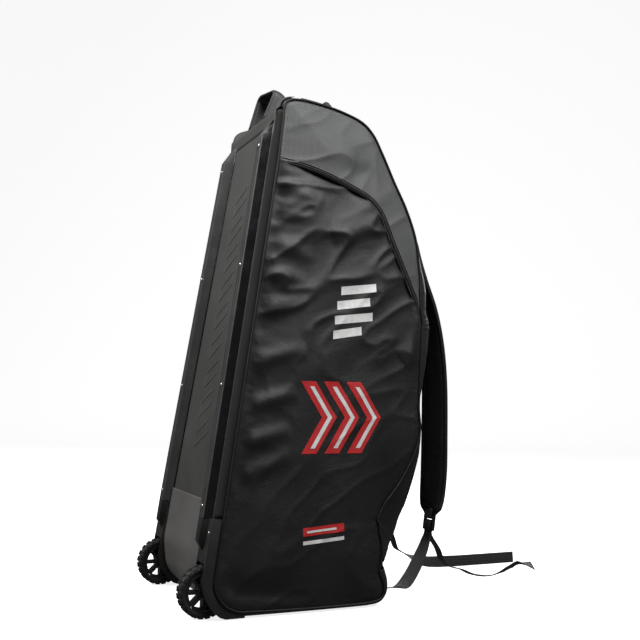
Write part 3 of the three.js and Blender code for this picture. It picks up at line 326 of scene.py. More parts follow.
def side_surface(points, seed, crumple=1.0):
    """How far out the cloth of a side stands at each (y, z)."""
    points = np.asarray(points, dtype=float)
    edge = gap_to(points, outline)
    width = half_width(points[:, 1])
    belly = SIDE_CROWN * np.sin(np.minimum(1, edge / SIDE_CROWN_RUN) * math.pi / 2)
    folds = np.zeros(len(points))
    for depth, height, reach, drop, wide, rise in SIDE_FOLDS:
        start = np.array((BACK_FOOT_Y + depth * BAG_DEPTH, height * BAG_HEIGHT))
        end = start + np.array((reach * BAG_DEPTH, -drop * BAG_HEIGHT))
        gap, along = gap_to_leg(points, start, end)
        fade = np.sqrt(np.cos(along * math.pi / 2))
        folds += rise * FOLD_RISE * fade * np.exp(-(gap / (wide * FOLD_WIDTH)) ** 2)
    folds *= ease(edge, 0.006, 0.030)
    to_back = gap_to(points, back_edge_low + back_edge_high)
    near_back = np.exp(-to_back / 0.045)
    high = 0.25 + 0.75 * ease(points[:, 1], 0.35, 0.75)
    gathers = rough(points, 0.016, 0.060, -0.16, seed) * 0.0022 * near_back * high
    crease = (1 - np.abs(rough(points, 0.05, 0.12, 0.5, seed + 4))) ** 6 * 0.0060 * high
    drape = rough(points, 0.06, 0.12, 0.9, seed + 9) * 0.0060 * high
    drape += rough(points, 0.012, 0.03, 0.5, seed + 13) * 0.0004 * high
    pucker = rough(points, 0.006, 0.014, 0.0, seed + 21) * 0.0016 * np.exp(-edge / 0.012)
    fine = (gathers + crease + drape + pucker) * ease(edge, 0.0, 0.012) * crumple
    return width + belly + folds + fine


def patch(bottom, top, left, right, columns, rows):
    """A grid blended from its four edges."""
    c00, c10, c01, c11 = left(0), right(0), left(1), right(1)
    grid = []
    for j in range(rows + 1):
        v = j / rows
        for i in range(columns + 1):
            u = i / columns
            ruled = (1 - v) * bottom(u) + v * top(u) + (1 - u) * left(v) + u * right(v)
            grid.append(ruled - (1 - v) * ((1 - u) * c00 + u * c10) - v * ((1 - u) * c01 + u * c11))
    return np.array(grid)


def offset_line(points, distance):
    """The line moved across itself by a distance, which may change along it."""
    run = np.array(points)
    ahead = np.vstack((run[1:], run[-1:]))
    behind = np.vstack((run[:1], run[:-1]))
    way = ahead - behind
    way /= np.hypot(*way.T)[:, None]
    return run + np.stack((-way[:, 1], way[:, 0]), axis=1) * np.reshape(distance, (-1, 1))


def add_ply(piece, thickness, out=-1.0):
    ply = piece.modifiers.new("ply", "SOLIDIFY")
    ply.thickness = thickness
    ply.offset = out
    return ply


class Finish:
    """A procedural material: nodes are added to it and joined to its surface."""

    def __init__(self, name):
        self.made = bpy.data.materials.new(name)
        self.made.use_nodes = True
        self.skin = self.made.node_tree.nodes["Principled BSDF"]
        self.place = self.add("TexCoord").outputs["Object"]

    def add(self, kind, settings=None, **inputs):
        node = self.made.node_tree.nodes.new("ShaderNode" + kind)
        for key, value in (settings or {}).items():
            setattr(node, key, value)
        for key, value in inputs.items():
            numbered = key[0] == "i" and key[1:].isdigit()
            self.put(node.inputs[int(key[1:]) if numbered else key], value)
        return node

    def put(self, socket, value):
        if isinstance(value, bpy.types.NodeSocket):
            self.made.node_tree.links.new(value, socket)
        else:
            socket.default_value = value

    def sums(self, operation, *values):
        inputs = {f"i{k}": value for k, value in enumerate(values)}
        return self.add("Math", {"operation": operation}, **inputs).outputs[0]

    def specks(self, scale, detail, **more):
        return self.add("TexNoise", Vector=self.place, Scale=scale, Detail=detail, **more).outputs["Fac"]

    def waves(self, direction, scale, place=None):
        return self.add("TexWave", {"bands_direction": direction}, Vector=place or self.place,
                        Scale=scale).outputs["Fac"]

    def cells(self, scale):
        return self.add("TexVoronoi", {"feature": "DISTANCE_TO_EDGE"}, Vector=self.place,
                        Scale=scale).outputs["Distance"]

    def colour(self, source, *stops):
        ramp = self.add("ValToRGB", Fac=source)
        band = ramp.color_ramp
        for element, (place, colour) in zip(band.elements, (stops[0], stops[-1])):
            element.position = place
            element.color = (*colour, 1)
        for place, colour in stops[1:-1]:
            band.elements.new(place).color = (*colour, 1)
        self.put(self.skin.inputs["Base Color"], ramp.outputs["Color"])

    def shine(self, wear, low, high, smoothest, roughest):
        spread = self.add("MapRange", i0=wear, i1=low, i2=high, i3=smoothest, i4=roughest)
        self.put(self.skin.inputs["Roughness"], spread.outputs[0])

    def relief(self, *layers):
        """Lays one bump on another, each given as its height, its depth and its strength."""
        below = {}
        for height, depth, strength, *inverted in layers:
            bump = self.add("Bump", {"invert": bool(inverted)}, Height=height, Distance=depth,
                            Strength=strength, **below)
            below = {"Normal": bump.outputs["Normal"]}
        self.put(self.skin.inputs["Normal"], below["Normal"])
        return self.made


def woven(name, dark, light, roughness, thread, crinkle, lumps, sheen=0.0, gloss=0.5):
    """Plain-woven cloth: two crossed thread waves, a fine crinkle and patchy wear."""
    cloth = Finish(name)
    threads = [cloth.waves(direction, 1 / thread / 3.2) for direction in "YZX"]
    weave = cloth.sums("ADD", cloth.sums("ADD", threads[0], threads[1]), threads[2])
    patches = cloth.specks(9.0, 5.0, Roughness=0.62)
    blend = cloth.sums("MULTIPLY_ADD", cloth.specks(420.0, 3.0), 0.35, patches)
    cloth.colour(blend, (0.45, dark), (0.95, light))
    cloth.shine(patches, 0.3, 0.7, roughness - 0.06, roughness + 0.07)
    cloth.put(cloth.skin.inputs["Sheen Weight"], sheen)
    cloth.put(cloth.skin.inputs["Specular IOR Level"], gloss)
    crumple = cloth.specks(38.0, 6.0, Roughness=0.6, Distortion=0.5)
    return cloth.relief((crumple, lumps, 0.7), (cloth.specks(160.0, 4.0), crinkle, 0.6),
                        (weave, thread * 0.14, 0.5))


black_nylon = woven("black_nylon_cloth", (0.0045, 0.0045, 0.0050), (0.0085, 0.0085, 0.0092), 0.45, 0.0007,
                    0.0003, 0.0010, sheen=0.01)


def mirror_points(points):
    return [(-x, y, z) for x, y, z in points]


SIDE_COLUMNS = 96
SIDE_LEVELS = 190
TUCK = 0.004
TUCK_DROP = 0.0035
CLOTH_PLY = 0.0012
PANEL_SEEDS = (3.0, 43.0)
lift = (TUCK + 0.0005) * ease(gap_to(np.array(yoke_seam), outline), 0.022, 0.044) - 0.0005
lower_top = list(offset_line(yoke_seam, lift))
lower_grid = patch(track(bottom_edge), track(lower_top), track(back_edge_low[:2] + [lower_top[0]]),
                   track(front_edge[:-1] + [lower_top[-1]]), SIDE_COLUMNS, SIDE_LEVELS)
near_yoke = 1 - ease(gap_to(lower_grid, yoke_seam[::4]), TUCK, 0.025)
near_yoke *= ease(gap_to(lower_grid, outline), 0.008, 0.022)


def fit(piece, slot, *nodes, body="bag_body"):
    """The piece rides on a body and stands for some nodes. The slot is not used."""
    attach(piece, body)
    if nodes:
        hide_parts(*nodes)


def both_sides(name, node, points_of, faces, finish, slot):
    """Makes the right piece and its mirror image, riding on the bag."""
    pieces = []
    for number, hand in enumerate(("right", "left")):
        points = points_of(number)
        if hand == "left":
            points = mirror_points(points)
        turned_faces = [face[::-1] for face in faces] if hand == "left" else faces
        piece = mesh_object(f"{name}_{hand}", points, turned_faces, finish)
        fit(piece, slot, f"{node}_{hand}")
        pieces.append(piece)
    return pieces


def on_side(spots, lift_off=0.0, seed=0.0, crumple=0.0):
    """The (y, z) spots laid on the cloth of the right side, a little above it."""
    out = side_surface(np.array(spots), seed, crumple) + lift_off
    return [(x, y, z) for x, (y, z) in zip(out, spots)]


def side_points(number):
    return on_side(lower_grid, -TUCK_DROP * near_yoke, PANEL_SEEDS[number], 1.0)


side_panels = both_sides("side_cloth", "side_panel", side_points,
                         strip_faces(SIDE_LEVELS + 1, SIDE_COLUMNS + 1), black_nylon, "black_nylon")
for panel in side_panels:
    add_ply(panel, CLOTH_PLY)

# Yokes
# The head of each side is a grey dobby cloth in small diamonds, with a coated
# back. It is stitched over the black nylon and carries the zip of a side pocket.
def diamond_cloth(name):
    cloth = Finish(name)
    slants = []
    for turn in (0.62, -0.62):
        turned_place = cloth.add("Mapping", Vector=cloth.place, Rotation=(turn, 0, 0)).outputs[0]
        slants.append(cloth.waves("Z", 118.0, turned_place))
    dots = cloth.sums("MULTIPLY", *slants)
    level_dots = cloth.sums("MULTIPLY_ADD", cloth.specks(11.0, 4.0), 0.35, dots)
    cloth.colour(level_dots, (0.18, (0.014, 0.015, 0.015)), (0.55, (0.060, 0.064, 0.062)),
                 (1.0, (0.17, 0.178, 0.172)))
    cloth.put(cloth.skin.inputs["Roughness"], 0.42)
    cloth.put(cloth.skin.inputs["Sheen Weight"], 0.1)
    return cloth.relief((cloth.specks(30.0, 5.0), 0.0012, 0.6), (dots, 0.0005, 0.9))


grey_dobby = diamond_cloth("grey_dobby_cloth")
YOKE_COLUMNS = 120
YOKE_LEVELS = 44
YOKE_SEEDS = (7.0, 47.0)
yoke_grid = patch(track(yoke_seam), track(top_edge), track(back_edge_high),
                  lambda share: np.array(lid_seam_end[0]), YOKE_COLUMNS, YOKE_LEVELS)


for yoke in both_sides("yoke_cloth", "side_yoke",
                       lambda number: on_side(yoke_grid, 0.0, YOKE_SEEDS[number], 0.4),
                       strip_faces(YOKE_LEVELS + 1, YOKE_COLUMNS + 1), grey_dobby, "grey_dobby"):
    add_ply(yoke, CLOTH_PLY)

# Lid and base
# One long cut of the same nylon runs up the front and back over the top, and a
# second one under the base. Both turn soft corners into the side seams.
LID_CROWN = 0.014
TOP_CROWN = -0.012
CORNER_RUN = 0.012
CORNER_SPREAD = 0.85
CORNER_STEPS = 12
CROSS_STEPS = 22


def lid_crown(edge, out):
    rising = float(ease(edge[1], 0.08 * BAG_HEIGHT, 0.35 * BAG_HEIGHT))
    over = float(ease(-out[0], -0.75, 0.1))
    return LID_CROWN * rising * (1 - over) + TOP_CROWN * over


def flat_edge(rim, share):
    roll, _, _, seam = rim_at(rim, share)
    return half_width(seam[1]) - CLOTH_SHIFT - CORNER_RUN - roll * CORNER_SPREAD


def rim_depth(rim, share, x, crowned):
    """How far inside the outline the cloth lies at x, and the outline itself."""
    roll, edge, out, seam = rim_at(rim, share)
    wide = half_width(seam[1]) - CLOTH_SHIFT
    run = CORNER_RUN + roll * CORNER_SPREAD
    flat = wide - run
    crown = lid_crown(edge, out) if crowned else 0.0
    x = abs(x)
    if x <= flat:
        return edge, out, -crown * (1 - (x / flat) ** 2)
    across = min((x - flat) / run, 1.0)
    return edge, out, roll * (1 - math.sqrt(1 - across ** 2))


def rim_place(rim, share, x, above=0.0, crowned=True):
    edge, out, depth = rim_depth(rim, share, x, crowned)
    y, z = edge - out * (depth - above)
    return Vector((x, y, z))


def lid_place(share, x, above):
    return rim_place(LID_RIM, share, x, above)


def rim_row(rim, share, crowned):
    roll, _, _, seam = rim_at(rim, share)
    wide = half_width(seam[1]) - CLOTH_SHIFT
    run = CORNER_RUN + roll * CORNER_SPREAD
    spots = []
    for i in range(CORNER_STEPS + 1):
        angle = i / CORNER_STEPS * math.pi / 2
        spots.append(wide - run * (1 - math.cos(angle)))
    flat = wide - run
    spots += [flat * (1 - i / CROSS_STEPS) for i in range(1, CROSS_STEPS + 1)]
    spots += [-x for x in spots[-2::-1]]
    row = [rim_place(rim, share, x, crowned=crowned) for x in spots]
    edge, out, _ = rim_depth(rim, share, wide, crowned)
    tuck = edge - out * (roll + TUCK)
    return [Vector((wide, *tuck))] + row + [Vector((-wide, *tuck))], roll, out


def rim_cloth(name, node, rim, rows, crowned, crumple, seed):
    points = []
    for j in range(rows + 1):
        row, roll, out = rim_row(rim, j / rows, crowned)
        for p in row:
            run = j / rows * 2.2
            inner = float(ease(abs(p.x), half_width(p.z), half_width(p.z) - 0.04))
            waves = noise.noise(Vector((p.x * 7, run * 14, seed))) * 1.0
            waves += noise.noise(Vector((p.x * 22, run * 60, seed + 5))) * 0.5
            corner = noise.noise(Vector((p.x * 9, run * 75, seed + 8))) * 1.1 * (1 - inner)
            shift = crumple * (waves * inner + corner * float(ease(roll, 0.008, 0.03)))
            points.append((p.x, p.y + out[0] * shift, p.z + out[1] * shift))
    piece = mesh_object(name, points, strip_faces(rows + 1, len(row)), black_nylon)
    fit(piece, "black_nylon", node)
    return piece


lid = rim_cloth("lid_cloth", "lid_panel", LID_RIM, 300, True, 0.0016, 2.0)
add_ply(lid, CLOTH_PLY)
base = rim_cloth("base_cloth", "base_panel", BASE_RIM, 110, False, 0.0, 6.0)
add_ply(base, CLOTH_PLY)

# Back board
# A stiff board under matt warm-grey vinyl, turned round both back corners and
# sewn to the sides. Each margin is darker, behind a black bead, and slanted bars are
# pressed into the middle.
BOARD = 0.004
BOARD_CORNER = 0.010
BOARD_FOOT = 0.172
BOARD_TOP = 0.932
RAIL_INSET = 0.035
BEAD_FROM_RAIL = 0.0200
BEAD_WIDTH = 0.0030
BEAD_RISE = 0.0011


def rail_x(z):
    return half_width(z) - RAIL_INSET


def vinyl(name, dark, light, roughness, grain_size, grain_depth, gloss=0.5):
    """Coated cloth with a pebbled leather grain and a little handling wear."""
    cloth = Finish(name)
    patches = cloth.specks(6.0, 6.0, Roughness=0.6)
    cloth.colour(patches, (0.3, dark), (0.72, light))
    cloth.shine(patches, 0.3, 0.7, roughness - 0.05, roughness + 0.08)
    cloth.put(cloth.skin.inputs["Specular IOR Level"], gloss)
    return cloth.relief((cloth.specks(14.0, 3.0), 0.0012, 0.35),
                        (cloth.cells(1 / grain_size), grain_depth, 0.5))


board_vinyl = vinyl("board_vinyl_cloth", (0.034, 0.034, 0.031), (0.056, 0.056, 0.051), 0.55, 0.0016, 0.0003)
margin_vinyl = vinyl("margin_vinyl_cloth", (0.017, 0.017, 0.017), (0.028, 0.028, 0.027), 0.8, 0.0016,
                     0.0003, gloss=0.15)
bead_vinyl = vinyl("bead_black_vinyl", (0.003, 0.003, 0.003), (0.006, 0.006, 0.006), 0.7, 0.0016, 0.0002)
relief_vinyl = vinyl("relief_vinyl_cloth", (0.075, 0.075, 0.070), (0.11, 0.11, 0.10), 0.55, 0.0016, 0.0003)
kick_vinyl = vinyl("kick_vinyl_cloth", (0.095, 0.091, 0.087), (0.135, 0.130, 0.124), 0.42, 0.0030, 0.0001)


def board_row(z):
    wide = half_width(z) - CLOTH_SHIFT
    y = back_y(z)
    rail = rail_x(z)
    half = [(wide, y + BOARD_WRAP + TUCK), (wide, y + BOARD_CORNER)]
    for i in range(1, 9):
        angle = i / 8 * math.pi / 2
        half.append((wide - BOARD_CORNER * (1 - math.cos(angle)), y + BOARD_CORNER * (1 - math.sin(angle))))
    for shift, rise in ((BEAD_WIDTH, 0), (BEAD_WIDTH * 0.7, 1), (BEAD_WIDTH * 0.3, 1), (0, 0)):
        half.append((rail + BEAD_FROM_RAIL + shift - BEAD_WIDTH / 2, y - rise * BEAD_RISE))
    half += [(rail * share, y) for share in (0.9, 0.7, 0.5, 0.3, 0.15)]
    row = half + [(0.0, y)] + [(-x, py) for x, py in half[::-1]]
    return [(x, py, z) for x, py in row[::-1]]


BOARD_LEVELS = 90
board_rows = [board_row(BOARD_FOOT + (BOARD_TOP - BOARD_FOOT) * i / BOARD_LEVELS)
              for i in range(BOARD_LEVELS + 1)]
board = mesh_object("board_cover", sum(board_rows, []), strip_faces(BOARD_LEVELS + 1, len(board_rows[0])),
                    board_vinyl, margin_vinyl, bead_vinyl)
for face in board.data.polygons:
    aside = abs(face.center.x) - rail_x(face.center.z) - BEAD_FROM_RAIL
    if aside > -BEAD_WIDTH:
        face.material_index = 1 if aside > BEAD_WIDTH / 2 else 2
fit(board, "board_vinyl", "back_board", "board_margin_right", "board_margin_left")
add_ply(board, BOARD * 0.9)

# The vinyl goes on past the board's top edge and is turned over the head of the lid.
HEAD_SHARES = [0.90, 0.915, 0.93, 0.945, 0.955, 0.965, 0.975, 0.985, 0.993, 1.0]
HEAD_LAP = 0.0032
HEAD_FOOT = [(0.934, 1.0), (0.929, 0.9), (0.922, 0.6), (0.914, 0.3), (0.906, 0.1)]
HEAD_SIDE = 0.0035
HEAD_COLUMNS = 40


def head_rows():
    rows = []
    for share in HEAD_SHARES:
        wide = half_width(rim_at(LID_RIM, share)[3][1]) - CLOTH_SHIFT - HEAD_SIDE
        rows.append([rim_place(LID_RIM, share, wide * (1 - 2 * i / HEAD_COLUMNS), HEAD_LAP)
                     for i in range(HEAD_COLUMNS + 1)])
    for z, lap in HEAD_FOOT:
        wide = half_width(z) - CLOTH_SHIFT - HEAD_SIDE - BOARD_CORNER * 0.7
        rows.append([Vector((wide * (1 - 2 * i / HEAD_COLUMNS), back_y(z) - HEAD_LAP * lap, z))
                     for i in range(HEAD_COLUMNS + 1)])
    return rows


head = mesh_object("board_head_cover", sum(head_rows(), []),
                   strip_faces(len(HEAD_SHARES) + len(HEAD_FOOT), HEAD_COLUMNS + 1), board_vinyl)
fit(head, "board_vinyl")
add_ply(head, 0.0011)

BAR_COUNT = 9
BAR_LOW = 0.30
BAR_PITCH = 0.058
BAR_HALF = 0.034
BAR_TALL = 0.030
BAR_SLANT = 0.014
BAR_LINE = 0.0035
BAR_RISE = 0.0009


def pressed_bars():
    """Slanted outlines raised a little from the board, like a stamped frame."""
    points = []
    faces = []
    for number in range(BAR_COUNT):
        low = BAR_LOW + number * BAR_PITCH
        for inset, lift in ((0, 0), (0.2, 1), (0.8, 1), (1, 0)):
            shrink = inset * BAR_LINE
            for sx, sz in ((-1, 0), (1, 0), (1, 1), (-1, 1)):
                x = sx * (BAR_HALF - shrink)
                z = low + shrink + sz * (BAR_TALL - 2 * shrink) + x / BAR_HALF * BAR_SLANT
                points.append((x, back_y(z) - 0.0002 - lift * BAR_RISE, z))
        start = number * 16
        for ring in range(3):
            for k in range(4):
                a = start + ring * 4 + k
                b = start + ring * 4 + (k + 1) % 4
                faces.append((a, b, b + 4, a + 4))
    return points, faces


fit(mesh_object("board_pressed_bars", *pressed_bars(), relief_vinyl, smooth=False), "board_vinyl")

# Kick panel
# Smooth satin vinyl over the foot of the board, curved under between the wheels
# and bound with a dark tape along both sides.
KICK = 0.003
KICK_TOP = 0.198
KICK_HALF_WIDTH = 0.127
KICK_COLUMNS = 24
BINDING_RADIUS = 0.0019


def kick_path():
    line = [(back_y(z) - KICK - 0.0005, z) for z in (KICK_TOP, 0.19, 0.17, 0.158, 0.13, 1.5 * HEEL_HEIGHT)]
    line += [tuple(p) for p in heel_arc(BOARD_WRAP - KICK - 0.001, 12)]
    smoothed = [np.array((0.0, *p)) for p in line]
    return [on_curve(smoothed, i / 60)[1:] for i in range(61)]


kick_line = kick_path()
kick_points = []
for y, z in kick_line:
    for i in range(KICK_COLUMNS + 1):
        kick_points.append((KICK_HALF_WIDTH * (1 - 2 * i / KICK_COLUMNS), y, z))
kick = mesh_object("kick_vinyl_panel", kick_points, strip_faces(len(kick_line), KICK_COLUMNS + 1), kick_vinyl)
fit(kick, "kick_vinyl", "kick_panel")
add_ply(kick, KICK * 0.9)


def capped_faces(rows, columns):
    """A closed strip with both ends shut."""
    ends = [tuple(range(columns))[::-1], tuple((rows - 1) * columns + k for k in range(columns))]
    return strip_faces(rows, columns, closed=True) + ends


def loop_faces(rows, columns):
    """A closed strip whose last ring is joined to its first."""
    last = (rows - 1) * columns
    joins = [(last + k, last + (k + 1) % columns, (k + 1) % columns, k) for k in range(columns)]
    return strip_faces(rows, columns, closed=True) + joins


def shifted(faces, start):
    return [tuple(start + v for v in face) for face in faces]


def tube(path, radius, sides, closed=False, side_axis=None):
    """Rings of points round a path, with the faces that join them."""
    spots = [Vector(p) for p in path]
    count = len(spots)
    points = []
    last = None
    for i, spot in enumerate(spots):
        ahead = spots[(i + 1) % count] if closed or i < count - 1 else spot
        behind = spots[i - 1] if closed or i else spot
        way = (ahead - behind).normalized()
        aside = Vector(side_axis) if side_axis else (last or Vector((0.31, 0.87, 0.38)))
        aside = (aside - way * aside.dot(way)).normalized()
        last = aside
        other = way.cross(aside)
        for k in range(sides):
            angle = k / sides * 2 * math.pi
            points.append(spot + radius * (math.cos(angle) * aside + math.sin(angle) * other))
    return points, loop_faces(count, sides) if closed else capped_faces(count, sides)


trim_black = woven("trim_black_tape", (0.003, 0.003, 0.003), (0.007, 0.007, 0.007), 0.55, 0.0009,
                   0.0002, 0.0003, gloss=0.35)
for hand, sign in (("right", 1), ("left", -1)):
    run = [(sign * (KICK_HALF_WIDTH - 0.0016), y - 0.0004, z) for y, z in kick_line]
    binding = tube(run, BINDING_RADIUS, 8, side_axis=(1, 0, 0))
    fit(mesh_object(f"kick_binding_{hand}", *binding, trim_black), "zip_black")

# Skid rails
# Two glossy mouldings, screwed through the board. Each has a thin flange on the board, a ribbed crest that
# takes the wear, and a ramp at its head. The crest, the inner wall and the outer flange are a lighter grey:
# wear and a painted highlight on the crest, painted light on the inner wall and the flange.
RAIL_TOP = 0.914
RAIL_RAMP = 0.030
RAIL_HEIGHT = 0.019
RAIL_TIP = 0.003
RAIL_CREST = 0.0172
RAIL_WALL = 0.012
RAIL_FOOT = 0.0150
RAIL_FLANGE = 0.0024
RAIL_SECTION = [
    (0.0190, 0.0), (0.0190, 0.0012), (0.0182, 0.0018), (0.0156, 0.0018), (0.0150, 0.0026),
    (0.0124, 0.0172), (0.0118, 0.0186), (0.0106, 0.0190), (0.0094, 0.0190), (0.0088, 0.0177),
    (0.0070, 0.0177), (0.0064, 0.0190), (0.0048, 0.0190), (0.0042, 0.0177), (0.0024, 0.0177),
    (0.0018, 0.0190),
]


def moulded(name, colour, roughness, speckle, scuffs):
    """Moulded plastic with a fine spark grain and faint scuffs."""
    plastic = Finish(name)
    wear = plastic.specks(26.0, 7.0, Roughness=0.7)
    plastic.colour(wear, (0.45, colour), (0.85, tuple(min(1.0, c * 1.6 + 0.002) for c in colour)))
    plastic.shine(wear, 0.35, 0.7, roughness, roughness + scuffs)
    return plastic.relief((plastic.specks(900.0, 2.0), speckle, 0.5))


rail_plastic = moulded("rail_glossy_plastic", (0.004, 0.004, 0.005), 0.2, 0.00002, 0.12)
# Lighter grey for crest, inner wall and flange: partly wear, partly painted light.
rail_wear_and_painted_light = moulded("rail_worn_and_painted_lit_plastic", (0.055, 0.055, 0.055), 0.42, 0.00008, 0.10)
housing_plastic = moulded("housing_satin_plastic", (0.012, 0.012, 0.0115), 0.4, 0.00010, 0.10)


def outward(piece):
    """Turns every face of a closed piece to look out."""
    work = bmesh.new()
    work.from_mesh(piece.data)
    bmesh.ops.recalc_face_normals(work, faces=work.faces)
    work.to_mesh(piece.data)
    work.free()


def rail_height_at(z):
    ramp_share = min(max((z - (RAIL_TOP - RAIL_RAMP)) / RAIL_RAMP, 0), 1)
    return 1 - ramp_share * (1 - RAIL_TIP / RAIL_HEIGHT)


rail_levels = [BOARD_FOOT + 0.0003, BOARD_FOOT + 0.002]
rail_levels += [0.2 + (RAIL_TOP - RAIL_RAMP - 0.2) * i / 40 for i in range(41)]
rail_levels += [RAIL_TOP - RAIL_RAMP * share for share in (0.9, 0.6, 0.3, 0.05, 0.0)]
rail_profile = [(-x, h) for x, h in RAIL_SECTION] + RAIL_SECTION[::-1]


def rail_points(number):
    points = []
    for z in rail_levels:
        low = rail_height_at(z)
        points += [(rail_x(z) + x, back_y(z) - 0.0003 - h * low, z) for x, h in rail_profile]
    return points


rail_faces = capped_faces(len(rail_levels), len(rail_profile))
for rail in both_sides("rail_moulding", "skid_rail", rail_points, rail_faces, rail_plastic, "rail_plastic"):
    # The crest, the inner wall and the outer flange take the lighter grey as painted light; on the crest it
    # is also wear.
    rail.data.materials.append(rail_wear_and_painted_light)
    for face in rail.data.polygons:
        aside = abs(face.center.x) - rail_x(face.center.z)
        proud = back_y(face.center.z) - face.center.y
        crest = proud > RAIL_CREST * rail_height_at(face.center.z)
        inner_wall = aside < -RAIL_WALL and proud > RAIL_FLANGE
        outer_flange = aside > RAIL_FOOT and proud < RAIL_FLANGE
        if crest or inner_wall or outer_flange:
            face.material_index = 1
    outward(rail)
    rail.data.set_sharp_from_angle(angle=math.radians(35))

# Wheel housings
# A moulded shell round each heel corner of the bag: arch over the wheel, inner
# wall, and an outer cheek that follows the side seam.
def rounded_shading():
    """Node group that shades a piece smooth except across its sharp edges."""
    group = bpy.data.node_groups.new("rounded_shading", "GeometryNodeTree")
    group.interface.new_socket("Geometry", in_out="INPUT", socket_type="NodeSocketGeometry")
    group.interface.new_socket("Geometry", in_out="OUTPUT", socket_type="NodeSocketGeometry")
    start = group.nodes.new("NodeGroupInput")
    end = group.nodes.new("NodeGroupOutput")
    faces = group.nodes.new("GeometryNodeSetShadeSmooth")
    edges = group.nodes.new("GeometryNodeSetShadeSmooth")
    edges.domain = "EDGE"
    edges.inputs["Shade Smooth"].default_value = False
    angle = group.nodes.new("GeometryNodeInputMeshEdgeAngle")
    sharp = group.nodes.new("FunctionNodeCompare")
    sharp.operation = "GREATER_THAN"
    sharp.inputs[1].default_value = math.radians(35)
    group.links.new(start.outputs[0], faces.inputs["Geometry"])
    group.links.new(faces.outputs[0], edges.inputs["Geometry"])
    group.links.new(angle.outputs["Unsigned Angle"], sharp.inputs[0])
    group.links.new(sharp.outputs[0], edges.inputs["Selection"])
    group.links.new(edges.outputs[0], end.inputs[0])
    return group


smooth_group = rounded_shading()


def dress(node, finish, radius):
    """Gives a rigid piece its finish and rounds its moulded edges."""
    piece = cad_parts[node]
    piece.data.materials.clear()
    piece.data.materials.append(finish)
    weld = piece.modifiers.new("closed_skin", "WELD")
    weld.merge_threshold = 0.00001
    edge = piece.modifiers.new("moulded_edge", "BEVEL")
    edge.width = radius
    edge.segments = 3
    edge.limit_method = "ANGLE"
    edge.angle_limit = math.radians(35)
    shade = piece.modifiers.new("rounded_shading", "NODES")
    shade.node_group = smooth_group
    return piece


for hand in ("right", "left"):
    dress(f"wheel_housing_{hand}", housing_plastic, 0.0012)

# Wheels
# Rubber tyres with two rows of chunky staggered blocks, pressed on eight-spoked
# plastic hubs that turn on steel axles.
WHEEL_TRACK = 0.308
WHEEL_Y = -0.191
WHEEL_RADIUS = 0.046
TREAD_BLOCKS = 22
TREAD_GAP = 0.30
tyre_rubber = moulded("tyre_black_rubber", (0.007, 0.007, 0.007), 0.55, 0.0001, 0.15)
hub_plastic = moulded("hub_satin_plastic", (0.009, 0.009, 0.010), 0.35, 0.00006, 0.12)


def brushed(name, colour, roughness):
    metal = Finish(name)
    metal.put(metal.skin.inputs["Base Color"], (*colour, 1))
    metal.put(metal.skin.inputs["Metallic"], 1.0)
    fine = metal.specks(700.0, 3.0)
    metal.shine(fine, 0.2, 0.8, roughness - 0.1, roughness + 0.15)
    return metal.relief((fine, 0.00004, 0.6))


plated_steel = brushed("plated_steel", (0.55, 0.55, 0.56), 0.3)
TYRE_SECTION = [
    (0.0340, -0.0112), (0.0365, -0.0122), (0.0395, -0.0130), (0.0415, -0.0128), (0.0430, -0.0112),
    (0.0435, -0.0060), (0.0437, 0.0), (0.0435, 0.0060), (0.0430, 0.0112), (0.0415, 0.0128),
    (0.0395, 0.0130), (0.0365, 0.0122), (0.0340, 0.0112), (0.0338, 0.0),
]
BLOCK_SECTION = [
    (0.0400, 0.0134), (0.0448, 0.0122), (0.0460, 0.0095),
    (0.0460, 0.0018), (0.0432, 0.0012), (0.0400, 0.0100),
]
TYRE_STEPS = 88


def tyre_shape(centre):
    points = []
    for i in range(TYRE_STEPS):
        angle = i / TYRE_STEPS * 2 * math.pi
        for radius, x in TYRE_SECTION:
            points.append((x, radius * math.cos(angle), radius * math.sin(angle)))
    faces = loop_faces(TYRE_STEPS, len(TYRE_SECTION))
    pitch = 2 * math.pi / TREAD_BLOCKS
    for side in (1, -1):
        for number in range(TREAD_BLOCKS):
            middle = (number + (0.5 if side < 0 else 0.0)) * pitch
            span = pitch * (1 - TREAD_GAP) / 2
            first = len(points)
            for turn, squeeze in ((-span, 0.985), (-span * 0.8, 1.0), (span * 0.8, 1.0), (span, 0.985)):
                for radius, x in BLOCK_SECTION:
                    r = radius * squeeze
                    points.append((side * x, r * math.cos(middle + turn), r * math.sin(middle + turn)))
            faces += shifted(capped_faces(4, len(BLOCK_SECTION)), first)
    return [Vector(p) + Vector(centre) for p in points], faces


for hand, sign in (("right", 1), ("left", -1)):
    shape = tyre_shape((sign * WHEEL_TRACK / 2, WHEEL_Y, WHEEL_RADIUS))
    tyre = mesh_object(f"treaded_tyre_{hand}", *shape, tyre_rubber)
    outward(tyre)
    tyre.data.set_sharp_from_angle(angle=math.radians(32))
    fit(tyre, "tyre_rubber", f"wheel_tyre_{hand}", body=f"wheel_{hand}")
    dress(f"wheel_hub_{hand}", hub_plastic, 0.0008)
    dress(f"axle_{hand}", plated_steel, 0.0004)

# Screws
# Plated domed heads with a cross recess hold the rails and the housings. The cross recess is drawn as small
# black bars, painted shade standing in for its hollow.
SCREW_RADIUS = 0.004
SCREW_HEIGHT = 0.0017
SCREW_SIDES = 20
RAIL_SCREWS = (0.21, 0.445, 0.69, 0.945)
CHEEK_SCREW_Z = BOARD_FOOT - 0.024
CHEEK_PROUD = 0.008
recess_painted_shade = moulded("screw_recess_painted_shade", (0.004, 0.004, 0.004), 0.6, 0.00002, 0.1)


